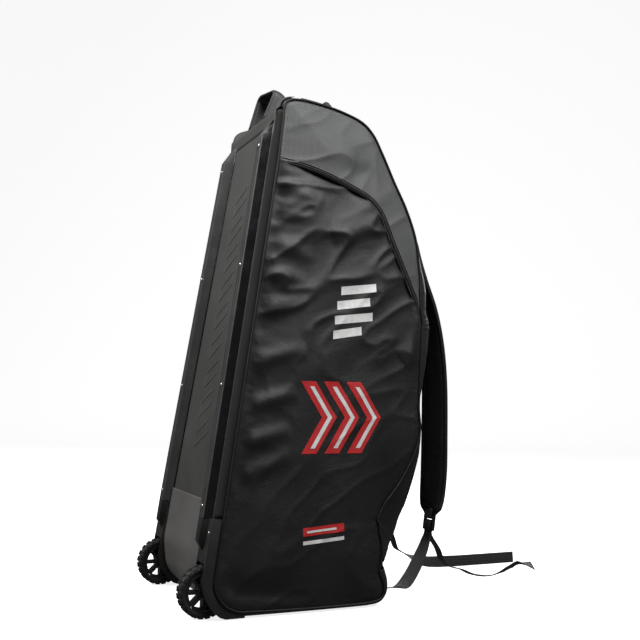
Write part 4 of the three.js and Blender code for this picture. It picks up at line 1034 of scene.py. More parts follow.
def screw(name, node, x, z, proud):
    """A domed head lying square on the leaning back."""
    rings = [(1.0, 0.0), (1.0, 0.25), (0.9, 0.6), (0.7, 0.84), (0.4, 0.97), (0.12, 1.0)]
    local = []
    for radius, rise in rings:
        for k in range(SCREW_SIDES):
            angle = k / SCREW_SIDES * 2 * math.pi
            local.append((radius * SCREW_RADIUS * math.cos(angle), rise * SCREW_HEIGHT,
                          radius * SCREW_RADIUS * math.sin(angle)))
    faces = strip_faces(len(rings), SCREW_SIDES, closed=True)
    faces.append(tuple((len(rings) - 1) * SCREW_SIDES + k for k in range(SCREW_SIDES)))
    metal = len(faces)
    for wide, tall in ((0.62, 0.14), (0.14, 0.62)):
        first = len(local)
        for rise in (0.7, 1.04):
            for sx, sz in ((-1, -1), (1, -1), (1, 1), (-1, 1)):
                local.append((sx * wide * SCREW_RADIUS, rise * SCREW_HEIGHT, sz * tall * SCREW_RADIUS))
        faces += [(first + 4, first + 5, first + 6, first + 7)]
        faces += [(first + k, first + (k + 1) % 4, first + 4 + (k + 1) % 4, first + 4 + k) for k in range(4)]
    lean = Matrix.Rotation(-BACK_LEAN, 3, "X")
    spot = Vector((x, back_y(z) - proud - 0.0003, z))
    points = [lean @ Vector((px, -py, pz)) + spot for px, py, pz in local]
    head = mesh_object(name, points, faces, plated_steel, recess_painted_shade)
    # The cross bars take the black finish: painted shade of the recess.
    for face in head.data.polygons[metal:]:
        face.material_index = 1
    head.data.set_sharp_from_angle(angle=math.radians(40))
    fit(head, "steel", node)


for hand, sign in (("right", 1), ("left", -1)):
    for number, share in enumerate(RAIL_SCREWS, 1):
        z = share * RAIL_TOP
        screw(f"rail_screw_head_{number}_{hand}", f"rail_screw_{number}_{hand}",
              sign * rail_x(z), z, RAIL_HEIGHT)
    cheek_x = half_width(CHEEK_SCREW_Z) - 2 * SCREW_RADIUS
    screw(f"housing_screw_head_{hand}", f"housing_screw_{hand}",
          sign * cheek_x, CHEEK_SCREW_Z, CHEEK_PROUD)

# Piping
# A round cord in black tape is sewn in along the whole outline of each side.
PIPING_RADIUS = 0.0022
back_line = track([top_edge[0], yoke_start, *back_edge_low[:2][::-1]])
pipe_route = [back_line(i / 90) for i in range(90)]
pipe_route += heel_arc(0, 24)[:-1]
pipe_route += [track(bottom_edge[24:])(i / 60) for i in range(60)]
pipe_route += [track(front_edge)(i / 170) for i in range(170)]
pipe_route += [track(lid_seam_end)(i / 150) for i in range(150)]


def piping_points(number):
    path = [(half_width(z) + 0.0016, y, z) for y, z in pipe_route]
    return [tuple(p) for p in tube(path, PIPING_RADIUS, 8, closed=True, side_axis=(1, 0, 0))[0]]


piping_faces = tube([(0, 0, i) for i in range(len(pipe_route))], PIPING_RADIUS, 8, closed=True)[1]
both_sides("side_piping_cord", "side_piping", piping_points, piping_faces, trim_black, "zip_black")

# Pocket zips
# A coil zip on black tape lies over the seam between yoke and nylon, in a narrow
# welt with a rolled lip on each side.
TAPE_HALF = 0.0044
COIL_HALF = 0.0016
COIL_RISE = 0.0016
TOOTH_PITCH = 0.0022
POCKET_MIDDLE = -0.0020


def coil_teeth(read, length, out_at):
    """Small bars side by side: read gives the middle line, out_at the outward way."""
    count = int(length / TOOTH_PITCH)
    points = []
    faces = []
    for i in range(count):
        share = (i + 0.5) / count
        spot = Vector(read(share))
        way = (Vector(read(min(share + 0.002, 1.0))) - Vector(read(max(share - 0.002, 0.0)))).normalized()
        out = Vector(out_at(share))
        across = way.cross(out).normalized()
        first = len(points)
        for rise, half, deep in ((0.0, 1.0, 0.36), (0.75, 1.0, 0.34), (1.0, 0.7, 0.2)):
            for sa, sw in ((-1, -1), (1, -1), (1, 1), (-1, 1)):
                points.append(spot + across * sa * half * COIL_HALF + way * sw * deep * TOOTH_PITCH
                              + out * rise * COIL_RISE)
        faces += shifted(strip_faces(3, 4, closed=True) + [(8, 9, 10, 11)], first)
    return points, faces


def joined(name, parts, finishes):
    """One piece from several point-and-face lists, each with its own finish."""
    points = []
    faces = []
    picks = []
    for number, (some_points, some_faces) in enumerate(parts):
        start = len(points)
        points += [tuple(p) for p in some_points]
        faces += shifted(some_faces, start)
        picks += [number] * len(some_faces)
    piece = mesh_object(name, points, faces, *finishes)
    for face, pick in zip(piece.data.polygons, picks):
        face.material_index = pick
    return piece


def in_hand(hand, parts):
    """The parts as they are on the right, or mirrored for the left."""
    if hand == "right":
        return parts
    return [(mirror_points([tuple(p) for p in points]), [face[::-1] for face in faces])
            for points, faces in parts]


LIP_RADIUS = 0.0012
coil_nylon = moulded("zip_coil_nylon", (0.010, 0.010, 0.010), 0.32, 0.00003, 0.1)
pocket_run = [track(yoke_seam)(0.02 + (0.955 - 0.02) * i / 120) for i in range(121)]
pocket_length = float(np.sum(np.hypot(*np.diff(np.array(pocket_run), axis=0).T)))


pocket_lines = [on_side(offset_line(pocket_run, POCKET_MIDDLE + TAPE_HALF * k / 2), 0.0016)
                for k in range(-2, 3)]
tape_points = [p for row in zip(*pocket_lines) for p in row]
coil_line = on_side(offset_line(pocket_run, POCKET_MIDDLE), 0.0017)
lips = []
for edge_shift in (-1, 1):
    lip_path = on_side(offset_line(pocket_run, POCKET_MIDDLE + edge_shift * (TAPE_HALF - 0.0008)), 0.0020)
    lips.append(tube(lip_path, LIP_RADIUS, 6, side_axis=(1, 0, 0)))
coil = coil_teeth(track(coil_line), pocket_length, lambda share: (1, 0, 0))
for hand in ("right", "left"):
    parts = in_hand(hand, [(tape_points, strip_faces(len(pocket_run), 5)), lips[0], lips[1], coil])
    pocket = joined(f"pocket_zip_tape_{hand}", parts, [trim_black, trim_black, trim_black, coil_nylon])
    fit(pocket, "zip_black", f"pocket_zip_{hand}")

# Lid zips
# The lid opens by a long coil zip on each edge, from low on the front to the top
# of the board, with a blackened slider near each end.
LID_PARTS = 32
ZIP_FROM = 1 / LID_PARTS
ZIP_TO = 28 / LID_PARTS
ZIP_INSET = 0.0005
ZIP_WIDTH = 0.008
ZIP_COUNT = 260


def zip_spot(share, across, above):
    """A point on the lid near its corner: across runs from 0 to 1 over the tape."""
    place = ZIP_FROM + (ZIP_TO - ZIP_FROM) * share
    return lid_place(place, flat_edge(LID_RIM, place) + ZIP_INSET + across * ZIP_WIDTH, above)


def zip_out(share):
    low = zip_spot(share, 0.5, 0.0)
    high = zip_spot(share, 0.5, 0.01)
    return (high - low).normalized()


zip_rows = []
for i in range(ZIP_COUNT + 1):
    zip_rows += [tuple(zip_spot(i / ZIP_COUNT, across, 0.0012)) for across in (1, 0.75, 0.5, 0.25, 0)]
zip_middle = [tuple(zip_spot(i / ZIP_COUNT, 0.5, 0.0013)) for i in range(ZIP_COUNT + 1)]
zip_length = sum(math.dist(a, b) for a, b in zip(zip_middle[:-1], zip_middle[1:]))
lid_coil = coil_teeth(track(zip_middle), zip_length, zip_out)
slider_metal = brushed("slider_black_nickel", (0.030, 0.030, 0.031), 0.28)
pull_rubber = moulded("pull_rubber", (0.013, 0.013, 0.013), 0.5, 0.0002, 0.15)
SLIDER_BODY = [
    (-0.5, 0.75, 0.0), (-0.42, 0.9, 0.75), (-0.1, 0.8, 1.0),
    (0.2, 1.0, 0.95), (0.42, 1.15, 0.7), (0.5, 1.0, 0.0),
]
SLIDER_LENGTH = 0.018
SLIDER_HALF = 0.0042
SLIDER_RISE = 0.0048


def slider_shape(share):
    """A slider body that bridges the coil, with a bridge loop on its back."""
    spot = zip_spot(share, 0.5, 0.0016)
    way = (zip_spot(share + 0.004, 0.5, 0.0016) - zip_spot(share - 0.004, 0.5, 0.0016)).normalized()
    out = zip_out(share)
    across = way.cross(out).normalized()
    points = []
    for along, half, rise in SLIDER_BODY:
        for sa, top in ((-1, 0), (-1, 0.8), (-0.7, 1), (0.7, 1), (1, 0.8), (1, 0)):
            points.append(spot + way * along * SLIDER_LENGTH + across * sa * half * SLIDER_HALF
                          + out * top * max(rise, 0.08) * SLIDER_RISE)
    bridge = []
    for i in range(9):
        angle = i / 8 * math.pi
        bridge.append(spot + way * math.cos(angle) * SLIDER_LENGTH * 0.3
                      + out * (SLIDER_RISE * 0.9 + math.sin(angle) * 0.0024))
    return [(points, capped_faces(len(SLIDER_BODY), 6)), tube(bridge, 0.0008, 6)]


def share_of_row(span, part):
    return ((span + part) / LID_PARTS - ZIP_FROM) / (ZIP_TO - ZIP_FROM)


for hand in ("right", "left"):
    parts = in_hand(hand, [(zip_rows, strip_faces(ZIP_COUNT + 1, 5)), lid_coil])
    tape = joined(f"lid_zip_tape_{hand}", parts, [trim_black, coil_nylon])
    fit(tape, "zip_black", f"lid_zip_{hand}")
    for level_name, span, part in (("low", 1, 0.4), ("high", 26, 0.5)):
        parts = in_hand(hand, slider_shape(share_of_row(span, part)))
        slider = joined(f"zip_slider_body_{level_name}_{hand}", parts, [slider_metal, slider_metal])
        outward(slider)
        slider.data.set_sharp_from_angle(angle=math.radians(35))
        fit(slider, "steel", f"zip_slider_{level_name}_{hand}")

# Zip pulls
# A ribbed rubber pull hangs by a short wire loop from each low slider.
PULL_LENGTH = 0.036
PULL_HALF = 0.0065
PULL_ROWS = 25
PULL_OUTLINE = [(0.0, 0.42), (0.06, 0.62), (0.2, 0.98), (0.5, 1.0), (0.8, 0.98), (0.94, 0.75), (1.0, 0.4)]


def pull_shape(node):
    low, high = (Vector(corner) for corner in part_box(node))
    x = (low.x + high.x) / 2
    y = (low.y + high.y) / 2
    points = []
    for i in range(PULL_ROWS):
        share = i / (PULL_ROWS - 1)
        half = float(np.interp(share, [p[0] for p in PULL_OUTLINE], [p[1] for p in PULL_OUTLINE])) * PULL_HALF
        thick = 0.0011 + (0.0003 if i % 2 and 0.2 < share < 0.85 else 0.0)
        for sa, st in ((-1, 0), (-0.8, 1), (0.8, 1), (1, 0), (0.8, -1), (-0.8, -1)):
            points.append((x + sa * half, y + st * thick, high.z - share * PULL_LENGTH))
    loop = []
    for i in range(13):
        angle = i / 12 * 2 * math.pi
        loop.append((x + math.sin(angle) * 0.0025, y, high.z - 0.001 + 0.0035 * math.cos(angle)))
    return [(points, capped_faces(PULL_ROWS, 6)), tube(loop, 0.0006, 6)]


for hand in ("right", "left"):
    pull = joined(f"zip_pull_tab_{hand}", pull_shape(f"zip_pull_{hand}"), [pull_rubber, slider_metal])
    fit(pull, "zip_black", f"zip_pull_{hand}")

# Strap anchors
# A doubled nylon patch, box-stitched to the lid, takes the head of each strap.
STRAP_X = 0.090
ANCHOR_HALF = 0.033
ANCHOR_LOW = 0.685
ANCHOR_HIGH = 0.775
ANCHOR_PLY = 0.0036
ANCHOR_LEVELS = 24
ANCHOR_COLUMNS = 20
strap_cloth = woven("strap_black_nylon", (0.007, 0.007, 0.008), (0.014, 0.014, 0.015), 0.62, 0.0011,
                    0.0004, 0.0006, sheen=0.08)
stitch_thread = woven("stitch_black_thread", (0.016, 0.016, 0.016), (0.034, 0.034, 0.034), 0.5, 0.0004,
                      0.0001, 0.0001)


def stitches(path, pitch=0.0042, length=0.0028, radius=0.00035):
    """A row of short round stitches lying along a path."""
    read = track([tuple(p) for p in path])
    total = sum(math.dist(a, b) for a, b in zip(path[:-1], path[1:]))
    count = max(2, int(total / pitch))
    points = []
    faces = []
    for i in range(count):
        middle = (i + 0.5) / count
        half = length / 2 / total
        leg = [Vector(read(middle + half * k)) for k in (-1, -0.5, 0.5, 1)]
        some, fcs = tube(leg, radius, 5)
        for ring, shrink in ((0, 0.35), (3, 0.35)):
            centre = leg[ring]
            for k in range(5):
                some[ring * 5 + k] = centre + (some[ring * 5 + k] - centre) * shrink
        faces += shifted(fcs, len(points))
        points += some
    return points, faces


def thread_rows(name, rows, finish, slot):
    """The same rows of stitches on the right and, mirrored, on the left."""
    for hand in ("right", "left"):
        fit(joined(f"{name}_{hand}", in_hand(hand, rows), [finish] * len(rows)), slot)


anchor_shares = [i / LID_PARTS for i in range(LID_PARTS + 1)]
anchor_shares = [share for share in anchor_shares
                 if ANCHOR_LOW < rim_at(LID_RIM, share)[1][1] / BAG_HEIGHT < ANCHOR_HIGH
                 and rim_at(LID_RIM, share)[2][0] > 0]
anchor_low = anchor_shares[0]
anchor_high = anchor_shares[-1]


def anchor_spot(up_share, across, above):
    place = anchor_low + (anchor_high - anchor_low) * up_share
    return lid_place(place, STRAP_X + across * ANCHOR_HALF, above)


anchor_rows = []
for i in range(ANCHOR_LEVELS + 1):
    for j in range(ANCHOR_COLUMNS + 1):
        above = 0.0006 + ANCHOR_PLY
        anchor_rows.append(tuple(anchor_spot(i / ANCHOR_LEVELS, 1 - 2 * j / ANCHOR_COLUMNS, above)))
box_line = [(0.06, -0.88), (0.94, -0.88), (0.94, 0.88), (0.06, 0.88), (0.06, -0.88)]
cross_line = [(0.06, -0.88), (0.94, 0.88)]
second_line = [(0.94, -0.88), (0.06, 0.88)]


def anchor_stitches():
    parts = []
    for line in (box_line, cross_line, second_line):
        path = []
        for (u0, a0), (u1, a1) in zip(line[:-1], line[1:]):
            for k in range(12):
                share = k / 12
                path.append(tuple(anchor_spot(u0 + (u1 - u0) * share, a0 + (a1 - a0) * share,
                                              ANCHOR_PLY + 0.0009)))
        path.append(tuple(anchor_spot(*line[-1], ANCHOR_PLY + 0.0009)))
        parts.append(stitches(path))
    return parts


for anchor in both_sides("strap_anchor_patch", "strap_anchor", lambda number: anchor_rows,
                         strip_faces(ANCHOR_LEVELS + 1, ANCHOR_COLUMNS + 1), strap_cloth, "strap_mesh"):
    add_ply(anchor, ANCHOR_PLY)
thread_rows("anchor_stitching", anchor_stitches(), stitch_thread, "strap_mesh")

# Shoulder straps
# Foam pads under black air mesh, bound along both edges and quilted down each side.
# They are stitched to the anchors, bow out clear of the lid and end at a buckle.
STRAP_HALF = 0.031
STRAP_PAD = 0.012
STRAP_ROWS = [
    (1.013, 0.65, 10), (1.045, 0.595, 0), (1.068, 0.525, -12), (1.079, 0.44, -22),
    (1.08, 0.31, -25), (1.077, 0.24, -25), (1.069, 0.19, -18), (1.06, 0.156, 0),
]
STRAP_SECTION = [
    (0.0, 0.50), (0.22, 0.50), (0.42, 0.49), (0.56, 0.47), (0.66, 0.43), (0.72, 0.36), (0.745, 0.31),
    (0.77, 0.33), (0.80, 0.345), (0.83, 0.31), (0.85, 0.30), (0.87, 0.34), (0.93, 0.345), (0.975, 0.29),
    (1.0, 0.15), (1.0, 0.0),
]


def strap_row(share):
    middle = lid_place(share, STRAP_X, 0.0111)
    inner = lid_place(share, STRAP_X - STRAP_HALF, 0.0)
    outer = lid_place(share, STRAP_X + STRAP_HALF, 0.0)
    tilt = math.degrees(math.atan2(inner.y - outer.y, 2 * STRAP_HALF))
    return np.array((tilt / 1000, middle.y, middle.z))


strap_line = [strap_row(share) for share in (anchor_high, anchor_low)]
strap_line += [np.array((tilt / 1000, BACK_FOOT_Y + depth * BAG_DEPTH, height * BAG_HEIGHT))
               for depth, height, tilt in STRAP_ROWS]


def strap_frame(share):
    """Middle, crosswise and outward directions of the strap."""
    tilt, y, z = on_curve(strap_line, share)
    way = along_curve(strap_line, share)
    size = math.hypot(way[1], way[2])
    normal = Vector((0, -way[2] / size, way[1] / size))
    turn = math.radians(tilt * 1000)
    across = Vector((math.cos(turn), 0, 0)) - normal * math.sin(turn)
    facing = normal * math.cos(turn) + Vector((math.sin(turn), 0, 0))
    return Vector((STRAP_X, y, z)), across.normalized(), facing.normalized()


def diamond_mesh(name):
    """Knitted air mesh: raised shiny threads, with the small cells between them painted dark as shade in the
    openings.
    """
    knit = Finish(name)
    edge = knit.cells(520.0)
    # The cells are painted darker than the threads: painted shade in the openings.
    knit.colour(edge, (0.02, (0.0060, 0.0060, 0.0062)), (0.35, (0.0010, 0.0010, 0.0010)))
    knit.put(knit.skin.inputs["Roughness"], 0.7)
    knit.put(knit.skin.inputs["Specular IOR Level"], 0.2)
    return knit.relief((knit.specks(34.0, 5.0), 0.0012, 0.6), (edge, 0.0006, 0.8, "inverted"))


STRAP_COUNT = 150
QUILT_START = 4
strap_half_ring = STRAP_SECTION + [(s, -t) for s, t in STRAP_SECTION[-2::-1]]
strap_ring = strap_half_ring + [(-s, t) for s, t in strap_half_ring[-2:0:-1]]


def strap_points(number):
    points = []
    for i in range(STRAP_COUNT + 1):
        share = i / STRAP_COUNT
        middle, across, facing = strap_frame(share)
        start = float(ease(share, 0.0, 0.06))
        end = float(ease(1 - share, 0.0, 0.07))
        thick = STRAP_PAD * (0.42 + 0.58 * start) * (0.42 + 0.58 * end)
        wide = STRAP_HALF * (1 - 0.30 * (1 - end) ** 2)
        for s, t in strap_ring:
            soft = noise.noise(Vector((s * 2.2, share * 34, 11.0 + 30 * number + (5 if t > 0 else 0))))
            wave = noise.noise(Vector((s * 1.2, share * 11, 17.0 + 30 * number)))
            puff = (soft * 0.0011 + wave * 0.0009) * (1 if t > 0 else -0.6)
            puff *= float(ease(1 - abs(s), 0.1, 0.4))
            puff -= 0.0008 if puff > 0.001 else 0
            points.append(middle + across * s * wide + facing * (t * thick + puff))
    return points


strap_faces = capped_faces(STRAP_COUNT + 1, len(strap_ring))
air_mesh = diamond_mesh("strap_air_mesh")
for number, strap in enumerate(both_sides("strap_pad", "shoulder_strap", strap_points, strap_faces,
                                          air_mesh, "strap_mesh")):
    strap.data.materials.append(trim_black)
    ring = len(strap_ring)
    for face in strap.data.polygons:
        place = strap_ring[face.index % ring]
        follow = strap_ring[(face.index + 1) % ring]
        if face.index < STRAP_COUNT * ring and min(abs(place[0]), abs(follow[0])) > 0.86:
            face.material_index = 1
    outward(strap)


def strap_seam(side, s, t):
    path = []
    for i in range(QUILT_START, STRAP_COUNT - QUILT_START):
        share = i / STRAP_COUNT
        middle, across, facing = strap_frame(share)
        path.append(tuple(middle + across * side * s * STRAP_HALF + facing * t * STRAP_PAD))
    return stitches(path, pitch=0.0050, length=0.0034, radius=0.00032)


strap_threads = [strap_seam(side, s, t)
                 for side in (-1, 1) for s, t in ((0.745, 0.33), (0.90, 0.36), (0.745, -0.33))]
thread_rows("strap_stitching", strap_threads, stitch_thread, "strap_mesh")

# Webbing
# Black polypropylene webbing in a herringbone weave. One length runs from a seam at
# the heel of the lid through each ladder buckle, and its loose tail lies on the floor.
WEBBING_HALF = 0.0125
WEBBING = 0.0018
RIBBON_EDGE = [(1.0, 0.0), (0.97, 0.7), (0.9, 1.0), (0.45, 1.0), (0.0, 1.0)]
BUCKLE_REACH = 0.030


def webbing_weave(name):
    band = Finish(name)
    split = band.add("SeparateXYZ", Vector=band.add("TexCoord").outputs["UV"])
    zigzag = band.sums("PINGPONG", split.outputs["Y"], 0.0032)
    slide = band.sums("ADD", split.outputs["X"], zigzag)
    ribs = band.sums("MULTIPLY", band.sums("PINGPONG", slide, 0.0006), 1 / 0.0006)
    cords = band.sums("MULTIPLY", band.sums("PINGPONG", split.outputs["Y"], 0.0008), 1 / 0.0008)
    height = band.sums("MULTIPLY_ADD", cords, 0.6, ribs)
    mixed = band.sums("MULTIPLY_ADD", band.specks(300.0, 4.0), 0.8, height)
    band.colour(mixed, (0.3, (0.003, 0.003, 0.003)), (1.0, (0.012, 0.012, 0.0125)))
    band.put(band.skin.inputs["Roughness"], 0.5)
    return band.relief((height, 0.00035, 0.8))


webbing_black = webbing_weave("webbing_black")
strap_foot, buckle_across, buckle_face = strap_frame(1.0)
end_way = along_curve(strap_line, 1.0)
buckle_aim = Vector((0, end_way[1], end_way[2])).normalized()
buckle_top = strap_foot + buckle_aim * 0.0003


def at_buckle(along, out):
    return (buckle_top + buckle_aim * along + buckle_face * out, buckle_across)


def row_spot(across, depth, height, wide):
    place = Vector((across * FLOOR_WIDTH / 2, BACK_FOOT_Y + depth * BAG_DEPTH, height * BAG_HEIGHT))
    return (place, Vector(wide))


def ribbon(name, rows, steps, *nodes):
    """A flat woven band through a few places, with the weave running along it."""
    line = [np.array(place) for place, _ in rows]
    points = []
    middle_line = []
    lengths = [0.0]
    for i in range(steps + 1):
        share = i / steps
        centre = Vector(on_curve(line, share))
        way = Vector(along_curve(line, share)).normalized()
        place = share * (len(rows) - 1)
        low = min(int(place), len(rows) - 2)
        across = rows[low][1].lerp(rows[low + 1][1], place - low)
        across = (across - way * across.dot(way)).normalized()
        face = across.cross(way)
        if middle_line:
            lengths.append(lengths[-1] + (centre - middle_line[-1]).length)
        middle_line.append(centre)
        ring = RIBBON_EDGE + [(-a, f) for a, f in RIBBON_EDGE[-2::-1]]
        ring += [(a, -f) for a, f in ring[-2:0:-1]]
        for a, f in ring:
            points.append(centre + across * a * WEBBING_HALF + face * f * WEBBING / 2)
    count = len(ring)
    band = mesh_object(name, points, capped_faces(steps + 1, count), webbing_black)
    layer = band.data.uv_layers.new(name="along_band")
    for face in band.data.polygons:
        for loop, vertex in zip(face.loop_indices, face.vertices):
            a = ring[vertex % count][0] * WEBBING_HALF
            layer.data[loop].uv = (lengths[vertex // count], a)
    outward(band)
    fit(band, "webbing", *nodes)
    return band, middle_line, lengths[-1]


def rows_in_hand(hand, rows):
    if hand == "right":
        return rows
    return [(Vector((-p.x, p.y, p.z)), Vector((-w.x, w.y, w.z))) for p, w in rows]


LOWER_ROWS = [
    row_spot(0.5, 1.03, 0.098, (0.9, 0.4, 0)), row_spot(0.58, 0.98, 0.067, (0.6, 0.75, -0.2)),
    row_spot(0.7, 0.91, 0.037, (0.32, 0.82, -0.46)), row_spot(0.817, 0.848, 0.026, (0.6, 0.6, -0.1)),
    row_spot(0.92, 0.789, 0.031, (0.9, 0.3, 0.25)),
]
TAIL_RIGHT_ROWS = [
    row_spot(0.49, 1.095, 0.085, (1, 0, 0)), row_spot(0.48, 1.12, 0.06, (1, 0, 0)),
    row_spot(0.475, 1.155, 0.046, (1, 0, 0)), row_spot(0.47, 1.215, 0.038, (1, 0, 0.05)),
    row_spot(0.46, 1.277, 0.025, (1, 0, 0.15)), row_spot(0.45, 1.373, 0.018, (1, 0, 0.3)),
    row_spot(0.44, 1.456, 0.028, (0.75, 0, 0.65)), row_spot(0.43, 1.512, 0.037, (0.7, 0, 0.7)),
    row_spot(0.43, 1.555, 0.036, (1, 0, 0)), row_spot(0.43, 1.61, 0.031, (0.8, 0, -0.6)),
]
TAIL_LEFT_ROWS = [
    row_spot(0.49, 1.085, 0.08, (1, 0, 0)), row_spot(0.52, 1.11, 0.055, (1, 0, 0)),
    row_spot(0.535, 1.146, 0.044, (1, 0, 0.05)), row_spot(0.54, 1.194, 0.031, (1, 0, 0.4)),
    row_spot(0.54, 1.265, 0.0195, (0.6, 0, 1)), row_spot(0.54, 1.41, 0.0155, (0.1, 0, 1)),
    row_spot(0.54, 1.58, 0.015, (0.07, 0, 1)), row_spot(0.54, 1.775, 0.015, (0.1, 0, 1)),
]
foot = {side: [at_buckle(BUCKLE_REACH + reach, side * WEBBING) for reach in (0.0003, 0.007)]
        for side in (-1, 1)}
wrap = [at_buckle(BUCKLE_REACH + 0.0003, -WEBBING), at_buckle(0.027, -0.0045), at_buckle(0.014, -0.0048),
        at_buckle(0.0095, 0.0), at_buckle(0.013, 0.0048), at_buckle(0.026, 0.0048),
        at_buckle(BUCKLE_REACH + 0.0003, WEBBING)]
strap_loop = [at_buckle(-0.014, 0.0036), at_buckle(-0.001, 0.0050), at_buckle(0.004, 0.0048),
              at_buckle(0.0066, 0.0), at_buckle(0.004, -0.0048), at_buckle(-0.001, -0.0050),
              at_buckle(-0.014, -0.0036)]
for hand in ("right", "left"):
    tail_rows = foot[1] + (TAIL_RIGHT_ROWS if hand == "right" else TAIL_LEFT_ROWS)
    ribbon(f"buckle_wrap_{hand}", rows_in_hand(hand, wrap), 40)
    ribbon(f"strap_loop_{hand}", rows_in_hand(hand, strap_loop), 34)
    ribbon(f"lower_band_{hand}", rows_in_hand(hand, foot[-1] + LOWER_ROWS), 70, f"lower_webbing_{hand}")
    loose, tail_line, tail_length = ribbon(f"loose_tail_{hand}", rows_in_hand(hand, tail_rows), 130,
                                           f"strap_tail_{hand}")
    dress(f"strap_buckle_{hand}", rail_plastic, 0.0006)

# Top grab handle
# A wide padded loop of dark grey vinyl, stitched down both edges, whose feet are
# sewn into the seam at the head of the board.
HANDLE_SPAN = 0.046
HANDLE_WIDTH = 0.038
HANDLE_THICK = 0.005
HANDLE_TOP = 1.013
HANDLE_BEND = 0.016
HANDLE_FOOT_Y = -0.058
HANDLE_FOOT_Z = 0.941
HANDLE_SLUMP = 0.18
HANDLE_LEAN_FAR = 0.28
HANDLE_LEAN_NEAR = 0.38
HANDLE_TURN_FAR = math.radians(14)
HANDLE_TURN_NEAR = math.radians(32)
HANDLE_SECTION = [
    (0.0, 0.30), (0.0, 0.72), (0.03, 0.92), (0.07, 0.97), (0.10, 0.88), (0.115, 0.80), (0.13, 0.90),
    (0.18, 1.0), (0.35, 1.0), (0.5, 1.0),
]
handle_vinyl = vinyl("handle_vinyl_cloth", (0.018, 0.018, 0.018), (0.032, 0.032, 0.031), 0.5, 0.0014, 0.0003)


def handle_path():
    half = [(HANDLE_SPAN, HANDLE_FOOT_Z + (HANDLE_TOP - HANDLE_BEND - HANDLE_FOOT_Z) * i / 8, 1.0, 0.0)
            for i in range(8)]
    for i in range(13):
        angle = i / 12 * math.pi / 2
        half.append((HANDLE_SPAN - HANDLE_BEND * (1 - math.cos(angle)),
                     HANDLE_TOP - HANDLE_BEND * (1 - math.sin(angle)), math.cos(angle), math.sin(angle)))
    half.append(((HANDLE_SPAN - HANDLE_BEND) / 2, HANDLE_TOP, 0.0, 1.0))
    return half + [(0.0, HANDLE_TOP, 0.0, 1.0)] + [(-x, z, -nx, nz) for x, z, nx, nz in half[::-1]]


handle_ring = HANDLE_SECTION + [(1 - a, f) for a, f in HANDLE_SECTION[-2::-1]]
handle_ring += [(a, 1 - f) for a, f in handle_ring[-2:0:-1]]
handle_rows = handle_path()


def handle_spot(row, along, ply):
    x, z, nx, nz = row
    far = (HANDLE_SPAN - x) / (2 * HANDLE_SPAN)
    inward = (1 - ply) * HANDLE_THICK
    rise = (z - nz * inward - HANDLE_FOOT_Z) * (1 + HANDLE_SLUMP * (far - 0.5))
    lean = HANDLE_LEAN_NEAR + (HANDLE_LEAN_FAR - HANDLE_LEAN_NEAR) * far
    turn = HANDLE_TURN_NEAR + (HANDLE_TURN_FAR - HANDLE_TURN_NEAR) * far
    turn = 2 * turn * float(ease(rise, 0.0, 0.05)) + 0.001
    radius = HANDLE_WIDTH / turn
    return (x - nx * inward, HANDLE_FOOT_Y + rise * lean + radius * math.sin(turn * along),
            HANDLE_FOOT_Z + rise - radius * (1 - math.cos(turn * along)))


handle_points = [handle_spot(row, a, f) for row in handle_rows for a, f in handle_ring]
handle = mesh_object("grab_handle_pad", handle_points, capped_faces(len(handle_rows), len(handle_ring)),
                     handle_vinyl)
outward(handle)
fit(handle, "board_vinyl", "top_handle")
handle_threads = [stitches([handle_spot(row, a, 0.84) for row in handle_rows]) for a in (0.115, 0.885)]
fit(joined("handle_stitching", handle_threads, [stitch_thread] * 2), "board_vinyl")

# Seam stitching and painted lip highlights
# Pale topstitching follows the back edge of the yoke. Rows of the same pale stitches along both lips of each
# pocket zip are a painted highlight on the lips.
# Pale grey thread; along the pocket lips the same rows stand for a painted highlight.
pale_thread_and_lip_highlight = woven("stitch_grey_thread_and_lip_highlight", (0.22, 0.22, 0.22), (0.42, 0.42, 0.41), 0.5, 0.0004,
                     0.0001, 0.0001)


YOKE_MARGIN = 0.0045
LIP_MARGIN = TAPE_HALF + 0.0012
THREAD_LIFT = 0.0009
yoke_back = offset_line([track(back_edge_high)(i / 40) for i in range(1, 36)], -YOKE_MARGIN)
stitch_and_highlight_rows = [stitches(on_side(yoke_back, THREAD_LIFT), pitch=0.0046, length=0.0030, radius=0.00060)]
# These pale rows along the lips are painted highlights on the zip lips.
for side in (1, -1):
    lip_line = on_side(offset_line(pocket_run, POCKET_MIDDLE + side * LIP_MARGIN), THREAD_LIFT)
    stitch_and_highlight_rows.append(stitches(lip_line, pitch=0.0036, length=0.0030, radius=0.00040))
thread_rows("yoke_stitching_and_lip_highlights", stitch_and_highlight_rows, pale_thread_and_lip_highlight, "grey_dobby")

# Prints
# Screen prints in white and red ink on both sides: slanted bars under the pocket
# zip, nested chevrons at the middle and a small double bar near the heel.
def ink(name, colour):
    layer = Finish(name)
    layer.colour(layer.specks(90.0, 5.0), (0.35, tuple(c * 0.84 for c in colour)), (0.6, colour))
    layer.put(layer.skin.inputs["Roughness"], 0.42)
    return layer.relief((layer.specks(900.0, 2.0), 0.0001, 0.5))


white_ink = ink("print_white_ink", (0.72, 0.72, 0.71))
red_ink = ink("print_red_ink", (0.52, 0.022, 0.024))


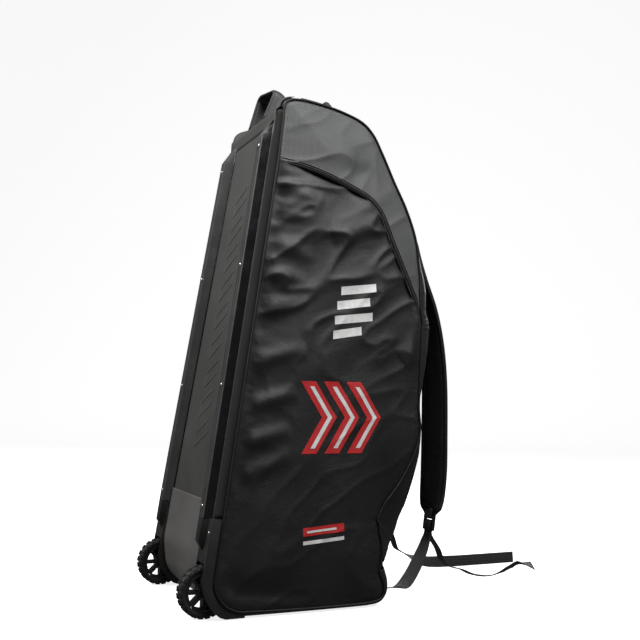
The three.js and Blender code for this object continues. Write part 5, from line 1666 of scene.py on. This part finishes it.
def ink_patch(corners, lift_off, seed):
    """A four-cornered area of ink laid on the cloth of the side."""
    a, b, c, d = (np.array(corner) for corner in corners)
    across = max(2, int(math.dist(a, b) / 0.0022))
    along = max(2, int(math.dist(b, c) / 0.0022))
    grid = []
    for j in range(along + 1):
        v = j / along
        for i in range(across + 1):
            u = i / across
            grid.append((1 - v) * ((1 - u) * a + u * b) + v * ((1 - u) * d + u * c))
    return on_side(grid, lift_off, seed, 1.0), strip_faces(along + 1, across + 1)


def bar(y0, y1, z0, z1, slant):
    return [(y0, z0), (y1, z0 + slant), (y1, z1 + slant), (y0, z1)]


def chevron(tip_y, tip_z, reach, spread, thick):
    """The two arms of an arrowhead that points forward."""
    tip = (tip_y, tip_z)
    inner = (tip_y - thick, tip_z)
    return [
        [(tip_y - reach - thick, tip_z - spread), (tip_y - reach, tip_z - spread), tip, inner],
        [inner, tip, (tip_y - reach, tip_z + spread), (tip_y - reach - thick, tip_z + spread)],
    ]


INK_LIFT = 0.0007
OVERPRINT_LIFT = 0.0012


def prints_for(seed):
    parts = []
    picks = []
    for z0, y0, y1 in ((0.579, 0.058, 0.131), (0.551, 0.050, 0.118),
                       (0.523, 0.045, 0.124), (0.495, 0.041, 0.100)):
        parts.append(ink_patch(bar(y0, y1, z0, z0 + 0.016, 0.010), INK_LIFT, seed))
        picks.append(white_ink)
    for tip_y in (0.140, 0.094, 0.048):
        for arm in chevron(tip_y, 0.350, 0.042, 0.066, 0.030):
            parts.append(ink_patch(arm, INK_LIFT, seed))
            picks.append(red_ink)
    for tip_y in (0.1305, 0.0845, 0.0385):
        for arm in chevron(tip_y, 0.350, 0.036, 0.0565, 0.0085):
            parts.append(ink_patch(arm, OVERPRINT_LIFT, seed))
            picks.append(white_ink)
    for corners, finish in ((bar(-0.020, 0.062, 0.137, 0.152, 0.006), red_ink),
                            (bar(-0.013, 0.046, 0.1425, 0.1465, 0.0045), white_ink),
                            (bar(-0.020, 0.062, 0.122, 0.1285, 0.006), white_ink)):
        over_ink = finish is white_ink and corners[0][0] > -0.015
        parts.append(ink_patch(corners, OVERPRINT_LIFT if over_ink else INK_LIFT, seed))
        picks.append(finish)
    return parts, picks


for number, hand in enumerate(("right", "left")):
    parts, picks = prints_for(PANEL_SEEDS[number])
    fit(joined(f"side_print_{hand}", in_hand(hand, parts), picks), "black_nylon")
